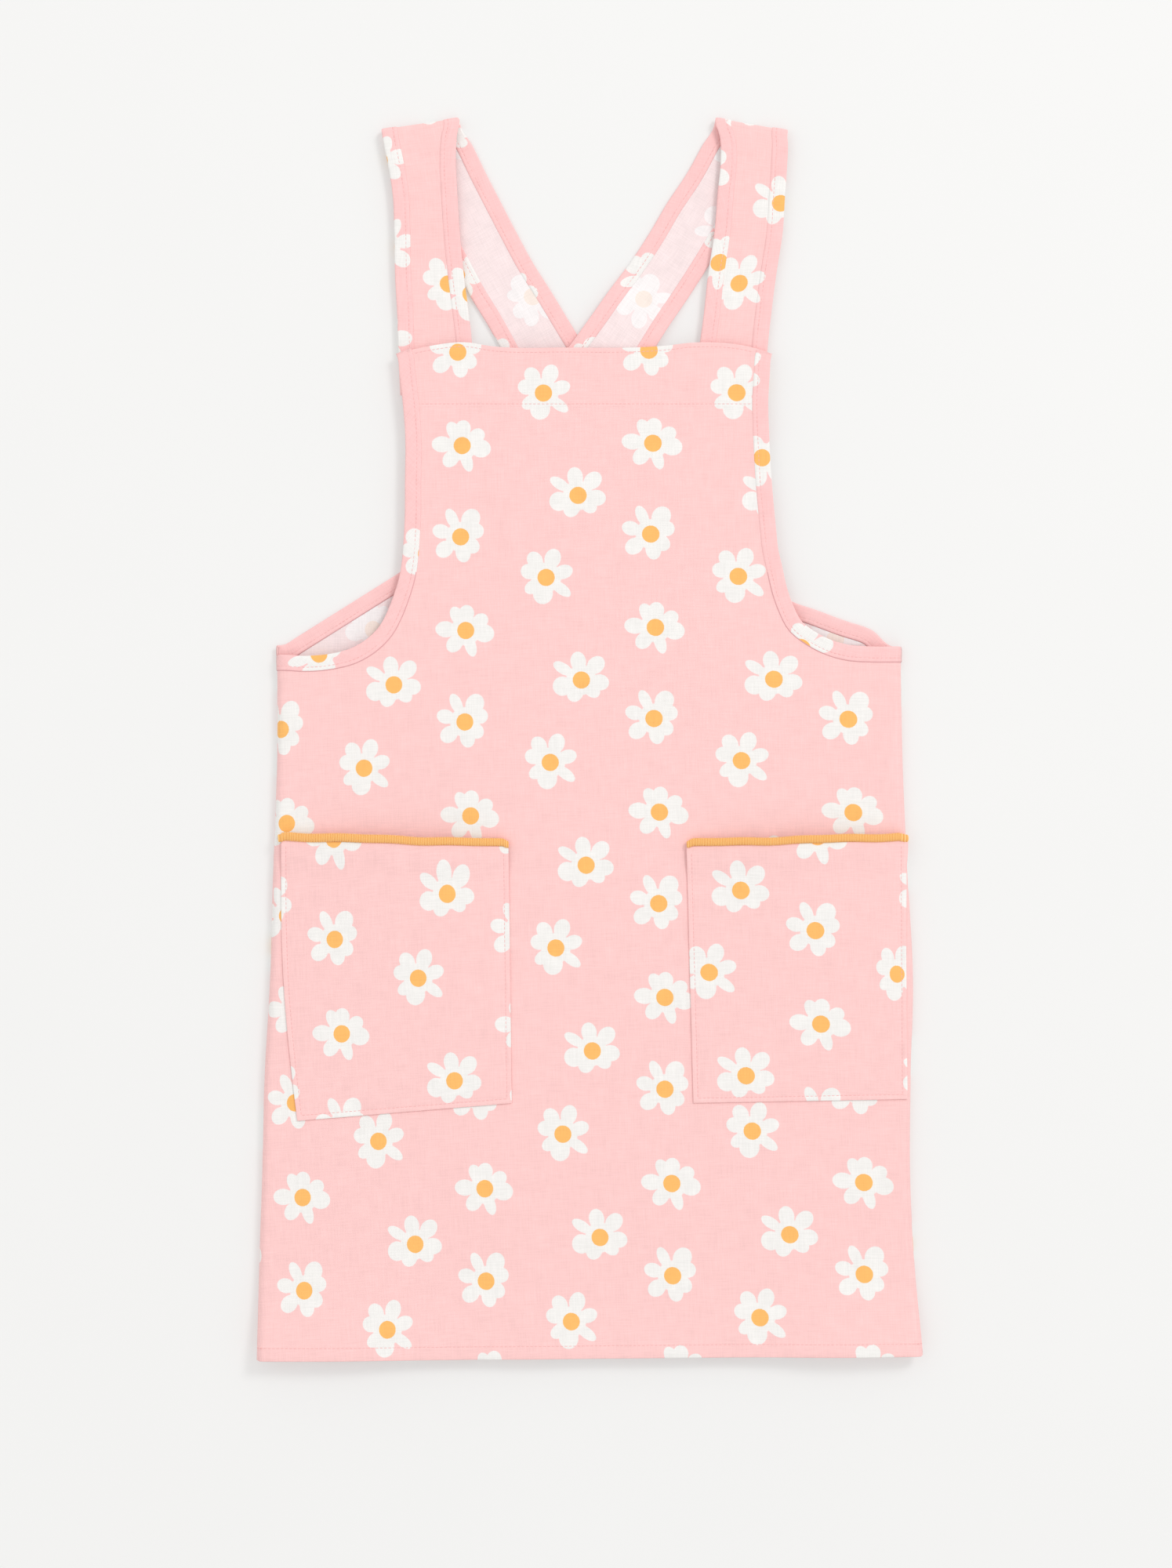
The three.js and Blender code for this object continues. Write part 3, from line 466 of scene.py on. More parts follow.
# Rows: down, inward, width, lean
strap_front = {
    "left": [
        (1.12, 0.21, 1.00, 0.0), (1.00, 0.18, 1.00, 0.0), (0.88, 0.14, 0.97, 0.0),
        (0.70, 0.07, 0.93, 0.0), (0.50, 0.01, 0.88, 1.0), (0.34, -0.02, 0.87, 3.0),
        (0.20, -0.04, 0.91, 6.0), (0.08, -0.02, 1.00, 8.0),
    ],
    "right": [
        (1.12, 0.26, 0.92, 0.0), (1.00, 0.22, 0.92, 0.0), (0.88, 0.17, 0.91, 0.0),
        (0.70, 0.11, 0.92, 0.0), (0.50, 0.02, 0.92, 1.0), (0.34, -0.02, 0.91, 3.0),
        (0.20, -0.06, 0.90, 6.0), (0.08, -0.04, 0.94, 9.0),
    ],
}
strap_back = {
    "left": [
        (0.00, 0.000, 1.06, 8.5), (0.13, 0.083, 0.98, 24.0), (0.29, 0.194, 0.96, 29.0),
        (0.42, 0.288, 0.96, 29.0), (0.52, 0.374, 0.97, 29.5), (0.63, 0.463, 1.00, 30.0),
        (0.78, 0.592, 1.00, 32.0), (0.91, 0.722, 0.99, 33.0), (1.00, 0.813, 0.98, 34.0),
    ],
    "right": [
        (0.00, 0.000, 0.99, 9.9), (0.13, 0.086, 0.92, 28.0), (0.28, 0.217, 0.92, 33.0),
        (0.37, 0.287, 0.91, 33.5), (0.47, 0.386, 0.93, 34.0), (0.63, 0.540, 0.98, 35.5),
        (0.77, 0.682, 1.00, 35.5), (0.91, 0.823, 1.02, 35.0), (1.00, 0.915, 1.03, 36.0),
    ],
}
crossing = (0.40, 0.56, 0.92, 1.00)
# Corners: inner top, outer top, outer bottom, inner bottom, each as (out, up)
pocket_corners = {
    "left": ((0.000, 0.000), (1.000, 0.024), (0.930, -1.020), (-0.014, -0.955)),
    "right": ((0.000, 0.000), (0.965, 0.023), (0.972, -0.940), (0.031, -0.954)),
}
pocket_bow = {"left": 0.026, "right": 0.0}
# Soft waves in the front: across, up, wide, tall, height as a share of the hollow
front_waves = [
    (-0.34, 0.00, 0.10, 0.12, 0.28), (-0.08, 0.00, 0.08, 0.16, 0.20),
    (0.14, 0.00, 0.09, 0.14, 0.16), (0.36, 0.00, 0.09, 0.12, 0.26),
    (0.02, 0.45, 0.12, 0.20, -0.10), (-0.15, 0.85, 0.14, 0.12, 0.12),
    (0.20, 0.98, 0.12, 0.14, 0.10),
]

# %% [markdown]
# ## Smooth lines
# The tables give a few points along each edge. A cutter would draw a smooth line through them with
# a curved ruler. Here a cubic curve does that, with its slope at each point taken from the points
# on both sides.

# %% Curves through points
def mix(low, high, share):
    return low + (high - low) * share


def ease(value, low, high):
    share = np.clip((value - low) / (high - low), 0.0, 1.0)
    return share * share * (3 - 2 * share)


def curve_through(knots, values, at):
    """Values on a smooth curve through the given points, at any places between them."""
    knots = np.asarray(knots, float)
    values = np.asarray(values, float)
    at = np.clip(np.asarray(at, float), knots[0], knots[-1])
    step = np.diff(knots)
    extra = (1,) * (values.ndim - 1)
    slope = np.diff(values, axis=0) / step.reshape((-1,) + extra)
    tangent = np.empty_like(values)
    before = step[:-1].reshape((-1,) + extra)
    after = step[1:].reshape((-1,) + extra)
    tangent[1:-1] = (slope[:-1] * after + slope[1:] * before) / (before + after)
    tangent[0] = slope[0]
    tangent[-1] = slope[-1]
    place = np.clip(np.searchsorted(knots, at, side="right") - 1, 0, len(step) - 1)
    wide = step[place].reshape(at.shape + extra)
    t = (at - knots[place]).reshape(at.shape + extra) / wide
    return ((1 + 2 * t) * (1 - t) ** 2 * values[place] + t * (1 - t) ** 2 * wide * tangent[place]
            + t * t * (3 - 2 * t) * values[place + 1] + t * t * (t - 1) * wide * tangent[place + 1])


def lengths_along(points):
    steps = np.linalg.norm(np.diff(points, axis=0), axis=1)
    return np.concatenate([[0.0], np.cumsum(steps)])


def points_at(places, run, points):
    """Points of a line at other distances along it, where run holds the distances of its own."""
    return np.stack([np.interp(places, run, column) for column in points.T], axis=1)


line_step = 3.6                 # millimetres between the points of an edge


def smooth_line(points):
    """The line again, as a smooth curve with points an even distance apart."""
    knots = lengths_along(points)
    fine = curve_through(knots, points, np.linspace(0, knots[-1], 2000))
    run = lengths_along(fine)
    count = max(2, int(round(run[-1] / line_step)) + 1)
    return points_at(np.linspace(0, run[-1], count), run, fine)


def offset_line(points, distance):
    """The line moved sideways, to the right of the way it runs."""
    ways = np.gradient(points, axis=0)
    ways = ways / np.linalg.norm(ways, axis=1, keepdims=True)
    return points + distance * np.stack([ways[:, 1], -ways[:, 0]], axis=1)

# %% [markdown]
# ## The lie of the front
# The front lies flat, rises a little towards the bib, where the straps are tucked behind it, and
# turns down round the side folds. Small waves along the hem catch the light. Where a hem is turned
# under there are two layers, so the surface steps up by a thread's height at its stitches.

# %% Front surface
def skirt_half(side, y):
    share = curve_through(side_flare["up"], side_flare[side], np.clip(y / skirt_length, 0, 1))
    return mix(chest_width, hem_width, share) / 2


def flat_half(side, y):
    return skirt_half(side, y) - cloth / 2 - fold_radius


def seam_along(side, y):
    return flat_half(side, y) + fold_radius * math.pi / 2


def round_fold(along, y):
    flat = np.where(along < 0, flat_half("left", y), flat_half("right", y))
    past = np.abs(along) - flat
    turn = np.clip(past, 0, None) / fold_radius
    x = np.where(past <= 0, along, np.sign(along) * (flat + fold_radius * np.sin(turn)))
    return x, turn


def wave_height(x, y):
    height = np.zeros(np.broadcast(x, y).shape)
    for across, up, wide, tall, share in front_waves:
        dx = (x / hem_width - across) / wide
        dy = (y / skirt_length - up) / tall
        height = height + hollow * share * np.exp(-dx * dx - dy * dy)
    return height


def soft_creases(x, y):
    """Faint rumples, a few tenths of a millimetre high, as pressed linen has."""
    height = 0.22 * np.sin(x / 23.0 + 1.7 * np.sin(y / 61.0)) * np.sin(y / 37.0 + 0.8)
    height += 0.16 * np.sin((x + 0.6 * y) / 17.0 + 2.0) * np.sin(y / 83.0)
    height += 0.12 * np.sin((0.8 * x - y) / 12.0) * np.sin(x / 49.0 + 0.4)
    return height


hem_climb = {"across": (-232.0, -100.0, 100.0, 232.0), "up": (2.4, 2.8, 4.6, 5.6)}


def hem_cut(along):
    """The hem isn't quite square: it climbs a few millimetres towards the right."""
    return np.interp(along, hem_climb["across"], hem_climb["up"])


def hem_relief(along, y):
    """Height of the second layer in both hems, and the dip that their stitches pull in."""
    low = y - hem_cut(along)
    upper = hem_step * ease(y, bib_top - bib_hem - 1.2, bib_top - bib_hem + 1.2)
    lower = hem_step * (1 - ease(low, skirt_hem - 1.2, skirt_hem + 1.2))
    dips = stitch_dip * np.exp(-((y - bib_row) / 0.7) ** 2)
    dips = dips + stitch_dip * np.exp(-((low - hem_row) / 0.7) ** 2)
    return upper + lower - dips


def above_hem(along, y):
    """Moves places near the bottom up to the slightly slanting hem."""
    return y + hem_cut(along) * (1 - ease(y, 0, 70))


# Where the hem stands off the table: middle, width and rise
hem_curls = ((-205.0, 75.0, 6.4), (200.0, 70.0, 6.0), (-40.0, 50.0, 1.0))
curl_reach = 38.0               # how far up the skirt the curls go


def corner_lift(x, y):
    """The hem curls up off the table, most at its corners, front and back together."""
    height = 1.6 + 0.5 * np.sin(x / 47.0 + 1.2)
    for middle, wide, rise in hem_curls:
        height = height + rise * np.exp(-((x - middle) / wide) ** 2)
    return height * np.exp(-(y / curl_reach) ** 2)


def front_surface(along, y):
    x, turn = round_fold(along, y)
    level = mix(skirt_height, bib_height, ease(y, skirt_length + 10, armhole_top + 40))
    half = np.where(along < 0, flat_half("left", y), flat_half("right", y))
    calm = 1 - ease(np.abs(x) / half, 0.8, 0.97)
    drop = fold_radius * (1 - np.cos(turn))
    lay = calm * (wave_height(x, y) + soft_creases(x, y)) + hem_relief(along, y)
    return np.stack(np.broadcast_arrays(x, y, level + lay + corner_lift(x, y) - drop), axis=-1)


def skin_at(surface, u, v, probe=0.4, facing=1.0):
    """Points of a surface, and the way up at each from its slopes a short probe away."""
    across = surface(u + probe, v) - surface(u - probe, v)
    up = surface(u, v + probe) - surface(u, v - probe)
    normal = np.cross(across, up) * facing
    return surface(u, v), normal / np.linalg.norm(normal, axis=-1, keepdims=True)

# %% [markdown]
# ## Making a sheet of cloth
# A sheet is two skins, one on each side of the middle surface, joined round the rim by a small
# rounded edge. The Solidify modifier can do this, but a hem has two layers only underneath, so the
# two skins are made here with their own thickness at each point.

# %% Sheet maker
def outer_edges(quads):
    """Edges that belong to one quad only, as pairs of points in the quad's own direction."""
    edges = np.stack([quads, np.roll(quads, -1, axis=1)], axis=-1).reshape(-1, 2)
    seen = {(int(a), int(b)) for a, b in edges}
    return [(a, b) for a, b in seen if (b, a) not in seen]


def to_metres(points):
    return (np.asarray(points) - (0.0, hem_to_middle, 0.0)) / 1000


def finish_mesh(name, points, faces, corner_map, finishes, materials):
    mesh = bpy.data.meshes.new(name)
    mesh.from_pydata(to_metres(points).tolist(), [], faces)
    for material in materials:
        mesh.materials.append(material)
    mesh.polygons.foreach_set("material_index", np.asarray(finishes, dtype=np.int32))
    mesh.polygons.foreach_set("use_smooth", np.ones(len(faces), dtype=bool))
    layer = mesh.uv_layers.new(name="cloth")
    corners = np.empty(len(mesh.loops), dtype=np.int32)
    mesh.loops.foreach_get("vertex_index", corners)
    layer.data.foreach_set("uv", corner_map[corners].astype(np.float32).ravel())
    mesh.validate()
    piece = bpy.data.objects.new(name, mesh)
    bpy.context.scene.collection.objects.link(piece)
    return piece


def cloth_sheet(name, points, normals, quads, flat_map, over, under, materials, face_up=True):
    """A closed sheet. over and under are the heights of its two skins from the middle surface."""
    count = len(points)
    quads = np.asarray(quads)
    over = np.broadcast_to(over, count)[:, None]
    under = np.broadcast_to(under, count)[:, None]
    rim = outer_edges(quads)
    outward = np.zeros((count, 3))
    for a, b in rim:
        way = points[b] - points[a]
        side = np.cross(way / (np.linalg.norm(way) + 1e-9), normals[a])
        outward[a] += side
        outward[b] += side
    size = np.linalg.norm(outward, axis=1, keepdims=True)
    outward = np.where(size > 0, outward / np.maximum(size, 1e-9), 0)
    rim_points = sorted({point for edge in rim for point in edge})
    place_of = {point: place for place, point in enumerate(rim_points)}
    all_points = [points + normals * over, points - normals * under]
    middle = (over - under) / 2
    half = (over + under) / 2
    for angle in (50, 0, -50):
        reach = math.cos(math.radians(angle))
        rise = math.sin(math.radians(angle))
        ring = points + normals * (middle + half * rise) + outward * half * reach
        all_points.append(ring[rim_points])
    starts = [2 * count + ring * len(rim_points) for ring in range(3)]
    faces = [tuple(quad) for quad in quads.tolist()]
    finishes = [0 if face_up else 1] * len(faces)
    faces += [tuple(point + count for point in reversed(quad)) for quad in quads.tolist()]
    finishes += [1 if face_up else 0] * len(quads)
    for a, b in rim:
        pa, pb = place_of[a], place_of[b]
        upper = [(a, b), *[(start + pa, start + pb) for start in starts], (a + count, b + count)]
        for (a0, b0), (a1, b1) in zip(upper, upper[1:]):
            faces.append((b0, a0, a1, b1))
            finishes.append(0)
    flat_all = np.concatenate([flat_map, flat_map] + [flat_map[rim_points]] * 3)
    piece = finish_mesh(name, np.concatenate(all_points), faces, flat_all, finishes, materials)
    print(name, "has", len(faces) * 2, "triangles")
    return piece


def grid_quads(numbers):
    """Quads of a grid of point numbers, with columns from left to right and rows going up."""
    return np.stack([numbers[:-1, :-1], numbers[1:, :-1], numbers[1:, 1:], numbers[:-1, 1:]],
                    axis=-1).reshape(-1, 4)


def flat_area(flat, quads):
    """Area in square metres of the cloth as it was cut, from its places on the flat cloth."""
    corners = flat[np.asarray(quads)]
    first = corners[:, 2] - corners[:, 0]
    second = corners[:, 3] - corners[:, 1]
    return float(np.abs(first[:, 0] * second[:, 1] - first[:, 1] * second[:, 0]).sum() / 2)

# %% [markdown]
# ## How the print runs on each piece
# The front was cut with the print nearly upright. It leans and stretches by a few millimetres over
# the length of the apron, as cloth does on a cutting table, and six numbers each way hold that. The
# pockets, straps and strips were cut from other places, so each has a shift of its own.

# %% Places on the print
print_across = (-46.94, 99.66, 2.41, -0.98, -0.41, -0.31)
print_up = (-206.76, -1.52, 99.91, 0.82, 0.33, 0.15)


def on_print(x, y, shift=(0.0, 0.0)):
    """Place on the printed cloth in metres, for a place on the apron in millimetres."""
    x = (np.asarray(x) - shift[0]) / 100
    y = (np.asarray(y) - hem_to_middle - shift[1]) / 100
    terms = (np.ones(np.broadcast(x, y).shape), x, y, x * x, x * y, y * y)
    across = sum(size * term for size, term in zip(print_across, terms))
    up = sum(size * term for size, term in zip(print_up, terms))
    return np.stack([across, up], axis=-1) / 1000

# %% [markdown]
# ## The front: bib and skirt in one cloth
# One piece of cloth makes the bib and the skirt front. Its grid has columns from side seam to side
# seam. The middle columns run on up into the bib, and the outer ones end at the armholes.

# %% Outline of the front
def front_side_line(side):
    sign = -inwards[side]
    points = []
    for up in (1.0, 0.93, 0.86, 0.79, 0.72, 0.64, 0.56, 0.48, 0.40, 0.31, 0.23, 0.15, 0.08, 0.0):
        half = bib_width / 2 * float(curve_through(bib_sides["up"], bib_sides[side], up))
        dip = bib_length * bib_top_edge["dip"][0] if up == 1 else 0.0
        points.append((sign * half, mix(armhole_top, bib_top, up) - dip))
    start = bib_width / 2 * bib_sides[side][0]
    for out, down in zip(armhole["out"], armhole[side]):
        y = armhole_top - armhole_depth * down
        points.append((sign * mix(start, float(flat_half(side, y)), out), y))
    underarm = underarm_up(side)
    for step in (0.34, 0.67, 1.0):
        along = mix(float(flat_half(side, underarm)), float(seam_along(side, underarm)), step)
        points.append((sign * along, underarm))
    return offset_line(smooth_line(np.array(points)), sign * edge_inset)


def underarm_up(side):
    return armhole_top - armhole_depth * armhole[side][-1]


front_lines = {side: front_side_line(side) for side in sides}
print("front outline points:", {side: len(line) for side, line in front_lines.items()})

# %% Grid of the front
fine_steps = (-3, -2.2, -1.5, -0.9, -0.4, 0, 0.4, 0.9, 1.5, 2.2, 3)     # round a row of stitches
fine_reach = 3.6
bib_columns = 79
skirt_rows = {"front": 140, "back": 105}        # rows above the fine ones at the hem
fine_top = {"front": 30.0, "back": 26.0}        # height where those end


def fine_near(low, high, spacing, rows):
    """Places from low to high, closer together round the rows where stitches pull the cloth."""
    places = list(np.linspace(low, high, int(round((high - low) / spacing)) + 1))
    for row in rows:
        places = [p for p in places if abs(p - row) > fine_reach or p in (low, high)]
        places += [row + step for step in fine_steps if low < row + step < high]
    return np.array(sorted(set(places)))


def levels_up(tops, rows, count):
    """Heights in each column of a grid: the fine rows at the hem, then even steps to its top."""
    above = np.linspace(0, 1, count)[None, 1:]
    hem = np.repeat(rows[None, :], len(tops), axis=0)
    return np.concatenate([hem, rows[-1] + (tops[:, 1:2] - rows[-1]) * above], axis=1)


def top_dip(share):
    """How far the bib's upper edge hangs below its highest points, at a share of the way across."""
    return bib_length * curve_through(bib_top_edge["across"], bib_top_edge["dip"], share)


def make_front():
    bib_edges, arm_edges = {}, {}
    for side, line in front_lines.items():
        corner = int(np.argmax(line[:, 1] <= armhole_top)) + 1
        bib_edges[side], arm_edges[side] = line[:corner], line[corner:]
    corner_left, corner_right = bib_edges["left"][-1], bib_edges["right"][-1]
    shares = np.linspace(0, 1, bib_columns)
    bib_base = corner_left + (corner_right - corner_left) * shares[:, None]
    tops = np.concatenate([arm_edges["left"][::-1], bib_base, arm_edges["right"]])
    seam = -seam_along("left", tops[:, 1])
    place = (tops[:, 0] - seam) / (seam_along("right", tops[:, 1]) - seam)
    rows = fine_near(0.0, fine_top["front"], 3.5, (hem_row, skirt_hem))
    levels = levels_up(tops, rows, skirt_rows["front"])
    along = mix(-seam_along("left", levels), seam_along("right", levels), place[:, None])
    skirt_numbers = np.arange(levels.size).reshape(levels.shape)
    first = len(arm_edges["left"])
    base = skirt_numbers[first:first + len(bib_base), -1]
    stitched = (bib_top - bib_hem, bib_row, bib_top - top_inset)
    heights = fine_near(armhole_top, bib_top, line_step, stitched)[1:]
    dip = top_dip(shares)
    bib_y = heights[None, :] - dip[:, None] * ease(heights, bib_top - 24, bib_top)[None, :]
    edge_left, edge_right = [np.interp(bib_y[0], bib_edges[side][::-1, 1], bib_edges[side][::-1, 0])
                             for side in sides]
    bib_x = mix(edge_left, edge_right, shares[:, None])
    bib_numbers = levels.size + np.arange(bib_x.size).reshape(bib_x.shape)
    bib_grid = np.concatenate([base[:, None], bib_numbers], axis=1)
    quads = np.concatenate([grid_quads(skirt_numbers), grid_quads(bib_grid)])
    u = np.concatenate([along.ravel(), bib_x.ravel()])
    v = np.concatenate([levels.ravel(), bib_y.ravel()])
    layers = np.where((v < skirt_hem) | (v > bib_top - bib_hem), 1.0, 0.0)
    v = above_hem(u, v)
    points, normals = skin_at(front_surface, u, v)
    piece = cloth_sheet("front_cloth", points, normals, quads, on_print(u, v), linen / 2,
                        linen / 2 + linen * layers, [printed_face, wrong_side])
    return piece, flat_area(np.stack([u, v], axis=1) / 1000, quads)


front_cloth, front_area = make_front()
print("front cut area in square metres:", round(front_area, 4))

# %% [markdown]
# ## Binding an edge
# A strip of cloth is folded over a raw edge and sewn through, which leaves a band of about 9 mm on
# each side. The band is made by drawing its outline, a long U with a round fold, across the edge at
# many stations and joining them. Real bands pucker a little between stitches, so their height
# varies by a tenth of a millimetre along the way. Shade gathers in the step beside the cloth, and
# on the armholes and the back that shade is also painted on its faces, as a thin darker pink line.

# %% Band outline
band_top = 1.02                 # height of the visible band's skins from the middle of the cloth
band_outside = -edge_inset + 0.05
band_inside = 0.42              # height of its inner faces, just over those of the cloth
painted_shade_faces = (0, 1)             # faces of the outline in the step beside the cloth
band_profile = [
    (band_width + 0.60, 0.43), (band_width + 0.45, 0.58), (band_width - 0.05, band_top - 0.10),
    (band_width - 0.8, band_top), (band_width - 1.8, band_top - 0.01),
    (band_width - 2.6, band_top - 0.10), (band_width - 3.4, band_top - 0.01),
    (band_width * 0.45, band_top + 0.08), (1.2, band_top + 0.06), (0.0, band_top),
]
fold_turns = [math.radians(angle) for angle in (70, 45, 20, 0, -20, -45, -70)]
band_outline = (
    band_profile
    + [(band_outside * math.cos(turn), (band_top - 0.04) * math.sin(turn)) for turn in fold_turns]
    + [(distance, -height) for distance, height in reversed(band_profile)]
    + [(band_width * 0.5, -band_inside), (0.2, -band_inside),
       (0.2, band_inside), (band_width * 0.5, band_inside)])
print("points in the outline of a band:", len(band_outline))

# %% Band maker
def ring_mesh(name, rows, flat_rows, materials, shaded=(), shaded_from=0):
    """Closed rings of points joined one after another, with a flat cap at each end."""
    points = np.stack(rows, axis=1)
    stations, corners = points.shape[:2]
    points = points.reshape(-1, 3)
    numbers = np.arange(stations * corners).reshape(stations, corners)
    around = np.roll(numbers, -1, axis=1)
    faces = np.stack([numbers[:-1], around[:-1], around[1:], numbers[1:]], axis=-1).reshape(-1, 4)
    faces = [tuple(face) for face in faces.tolist()]
    faces.append(tuple(reversed(numbers[0].tolist())))
    faces.append(tuple(numbers[-1].tolist()))
    volume = 0.0
    for face in faces:
        for second, third in zip(face[1:], face[2:]):
            volume += float(np.dot(points[face[0]], np.cross(points[second], points[third])))
    if volume < 0:
        faces = [tuple(reversed(face)) for face in faces]
    finishes = [int(place % corners in shaded and place // corners >= shaded_from)
                for place in range(len(faces) - 2)] + [0, 0]
    flat = np.stack(flat_rows, axis=1).reshape(-1, 2)
    piece = finish_mesh(name, points, faces, flat, finishes, materials)
    print(name, "has", 2 * len(faces), "triangles")
    return piece


def band_mesh(name, run, skin, start, turn, slow_pucker, *finish):
    """A band along an edge. skin gives the cloth's middle and the way up at a distance in from the
    edge, for each place of the run. start and turn place the strip on the print."""
    pucker = 0.06 * np.sin(run / 2.1) + 0.05 * np.sin(run / 5.3 + 1.0)
    pucker = pucker + slow_pucker * np.sin(run / 9.7)
    angle = math.radians(turn)
    rows, flat_rows = [], []
    reach = 0.0
    before = band_outline[0]
    for distance, height in band_outline:
        reach += math.hypot(distance - before[0], height - before[1])
        before = (distance, height)
        base, normal = skin(distance)
        share = min(1.0, max(0.0, (abs(height) - 0.45) / 0.4))
        rows.append(base + normal * (height + math.copysign(1, height) * pucker * share)[:, None])
        across = band_width - reach
        flat_rows.append(np.stack([
            start[0] + run * math.cos(angle) - across * math.sin(angle),
            start[1] + run * math.sin(angle) + across * math.cos(angle)], axis=1) / 1000)
    return ring_mesh(name, rows, flat_rows, *finish)


def edge_band(name, surface, line, to_cloth, start, turn, shaded_from=0):
    """A band along a line of (u, v) places on a surface."""
    edge, edge_up = skin_at(surface, *line.T)
    inward = surface(*offset_line(line, to_cloth).T) - edge
    inward = inward / np.linalg.norm(inward, axis=1, keepdims=True)

    def skin(distance):
        if distance > 0:
            return skin_at(surface, *offset_line(line, to_cloth * distance).T)
        return edge + inward * distance, edge_up

    return band_mesh(name, lengths_along(line), skin, start, turn, 0.04,
                     [binding_face, painted_seam_shade], painted_shade_faces, shaded_from)

# %% Bands of the armholes
# From this station on, the step of each armhole band is painted with shade.
shade_start = 42                # station from which the armhole bands have the thin shade
armhole_starts = {"left": ((98.4, 29.5), 128.7), "right": ((78.7, 19.7), 86.0)}
armhole_bands = {
    side: edge_band(f"armhole_band_{side}", front_surface, front_lines[side], -inwards[side],
                    *armhole_starts[side], shade_start)
    for side in sides}

# %% [markdown]
# ## The straps
# Each strap is a long ribbon of cloth. It starts behind the bib, runs up to the shoulder, folds
# over flat, and comes back down across the other strap to the back panel on the far side. It is
# laid out as a row of lines across the strap, with a smooth curve through both ends of the lines.

# %% Lines across the straps
fold_first, fold_last = 8, 16   # numbers of the lines where a strap's shoulder fold starts and ends
def strap_ends(side, row, drop, inward_unit):
    down, inward, width, lean = row
    lean = math.radians(lean)
    corner = shoulder_shift - inwards[side] * shoulder_span / 2
    neck = np.array([corner + inwards[side] * inward * inward_unit, shoulder_up - down * drop])
    wide = strap_width * width
    arm = neck - np.array([inwards[side] * wide * math.cos(lean), wide * math.sin(lean)])
    return neck, arm


def strap_lines(side):
    necks, arms = [], []

    def add_line(neck, arm, height):
        necks.append((*neck, height))
        arms.append((*arm, height))

    rows = list(strap_front[side])
    rows[0] = (1 + (strap_tuck - gap) / strap_drop, *rows[0][1:])
    for row in rows:
        height = mix(shoulder_height, tuck_height, float(ease(row[0], 0.2, 1)))
        add_line(*strap_ends(side, row, strap_drop, strap_width), height)
    neck, arm = strap_ends(side, strap_back[side][0], strap_back_drop, shoulder_span)
    radius = (shoulder_height - strap_low) / 2
    along = (neck - arm) * inwards[side] / np.linalg.norm(neck - arm)
    outward = np.array([-along[1], along[0]])
    steps = fold_last - fold_first
    for step in range(steps + 1):
        angle = math.pi * step / steps
        reach = radius * math.sin(angle) - radius - band_half
        add_line(neck + outward * reach, arm + outward * reach,
                 strap_low + radius * (1 + math.cos(angle)))
    columns = np.array(strap_back[side])
    for step in range(1, 13):
        down = step / 12
        row = (down, *[float(curve_through(columns[:, 0], columns[:, k], down)) for k in (1, 2, 3)])
        start, full, leave, end = crossing
        over = float(ease(down, start, full) - ease(down, leave, end))
        height = strap_low + (strap_step * over if side == "right" else 0.0)
        add_line(*strap_ends(side, row, strap_back_drop, shoulder_span), height)
    return np.array(necks), np.array(arms)


strap_ends_3d = {side: strap_lines(side) for side in sides}


def strap_surface(side):
    necks, arms = strap_ends_3d[side]
    knots = lengths_along((necks + arms) / 2)

    def surface(along, from_arm):
        """Point of the strap at a distance along its middle line and in from its arm side."""
        neck = curve_through(knots, necks, along)
        arm = curve_through(knots, arms, along)
        span = np.linalg.norm(neck - arm, axis=-1)
        share = (from_arm / span)[..., None]
        point = mix(arm, neck, share)
        crown = 0.25 * np.sin(along / 31.0 + 2.0 * np.sin(along / 55.0))
        crown = crown * np.sin(math.pi * share[..., 0])
        fold = knots[fold_first]
        lowest = ease(along, 0.0, 30.0) * (1 - ease(along, fold - 25, fold))
        point[..., 2] += crown * lowest
        return point

    return surface, knots

# %% Strap cloth
station_step = 3.2              # millimetres between stations on the flat parts of a strap
fold_stations, strap_columns = 15, 19


def strap_skin(side, surface, along, from_arm):
    return skin_at(surface, along, from_arm, 0.3, -inwards[side])


def strap_stations(knots):
    """Distances along a strap, closer together round the shoulder fold."""
    fold_start, fold_end = knots[fold_first], knots[fold_last]
    before = np.linspace(0, fold_start, int(fold_start / station_step) + 1)[:-1]
    fold = np.linspace(fold_start, fold_end, fold_stations)
    count = int((knots[-1] - fold_end) / station_step) + 1
    after = np.linspace(fold_end, knots[-1], count)[1:]
    return np.concatenate([before, fold, after])


strap_print = {"left": (19.8, -42.5), "right": (82.2, -43.1)}


def make_strap(side):
    surface, knots = strap_surface(side)
    stations = strap_stations(knots)
    necks, arms = strap_ends_3d[side]
    across = curve_through(knots, necks, stations) - curve_through(knots, arms, stations)
    span = np.linalg.norm(across, axis=1)
    shares = np.linspace(0, 1, strap_columns)
    from_arm = mix(edge_inset, (span - edge_inset)[:, None], shares[None, :])
    along = np.repeat(stations[:, None], len(shares), axis=1)
    numbers = np.arange(along.size).reshape(along.shape).T
    quads = grid_quads(numbers if side == "left" else numbers[::-1])
    along, from_arm = along.ravel(), from_arm.ravel()
    points, normals = strap_skin(side, surface, along, from_arm)
    shift = strap_print[side]
    flat = np.stack([inwards[side] * from_arm + shift[0], along + shift[1]], axis=1) / 1000
    piece = cloth_sheet(f"strap_cloth_{side}", points, normals, quads, flat, linen / 2, linen / 2,
                        [printed_face, wrong_side])
    return piece, flat_area(flat, quads), (surface, knots, stations, span)


strap_pieces = {side: make_strap(side) for side in sides}

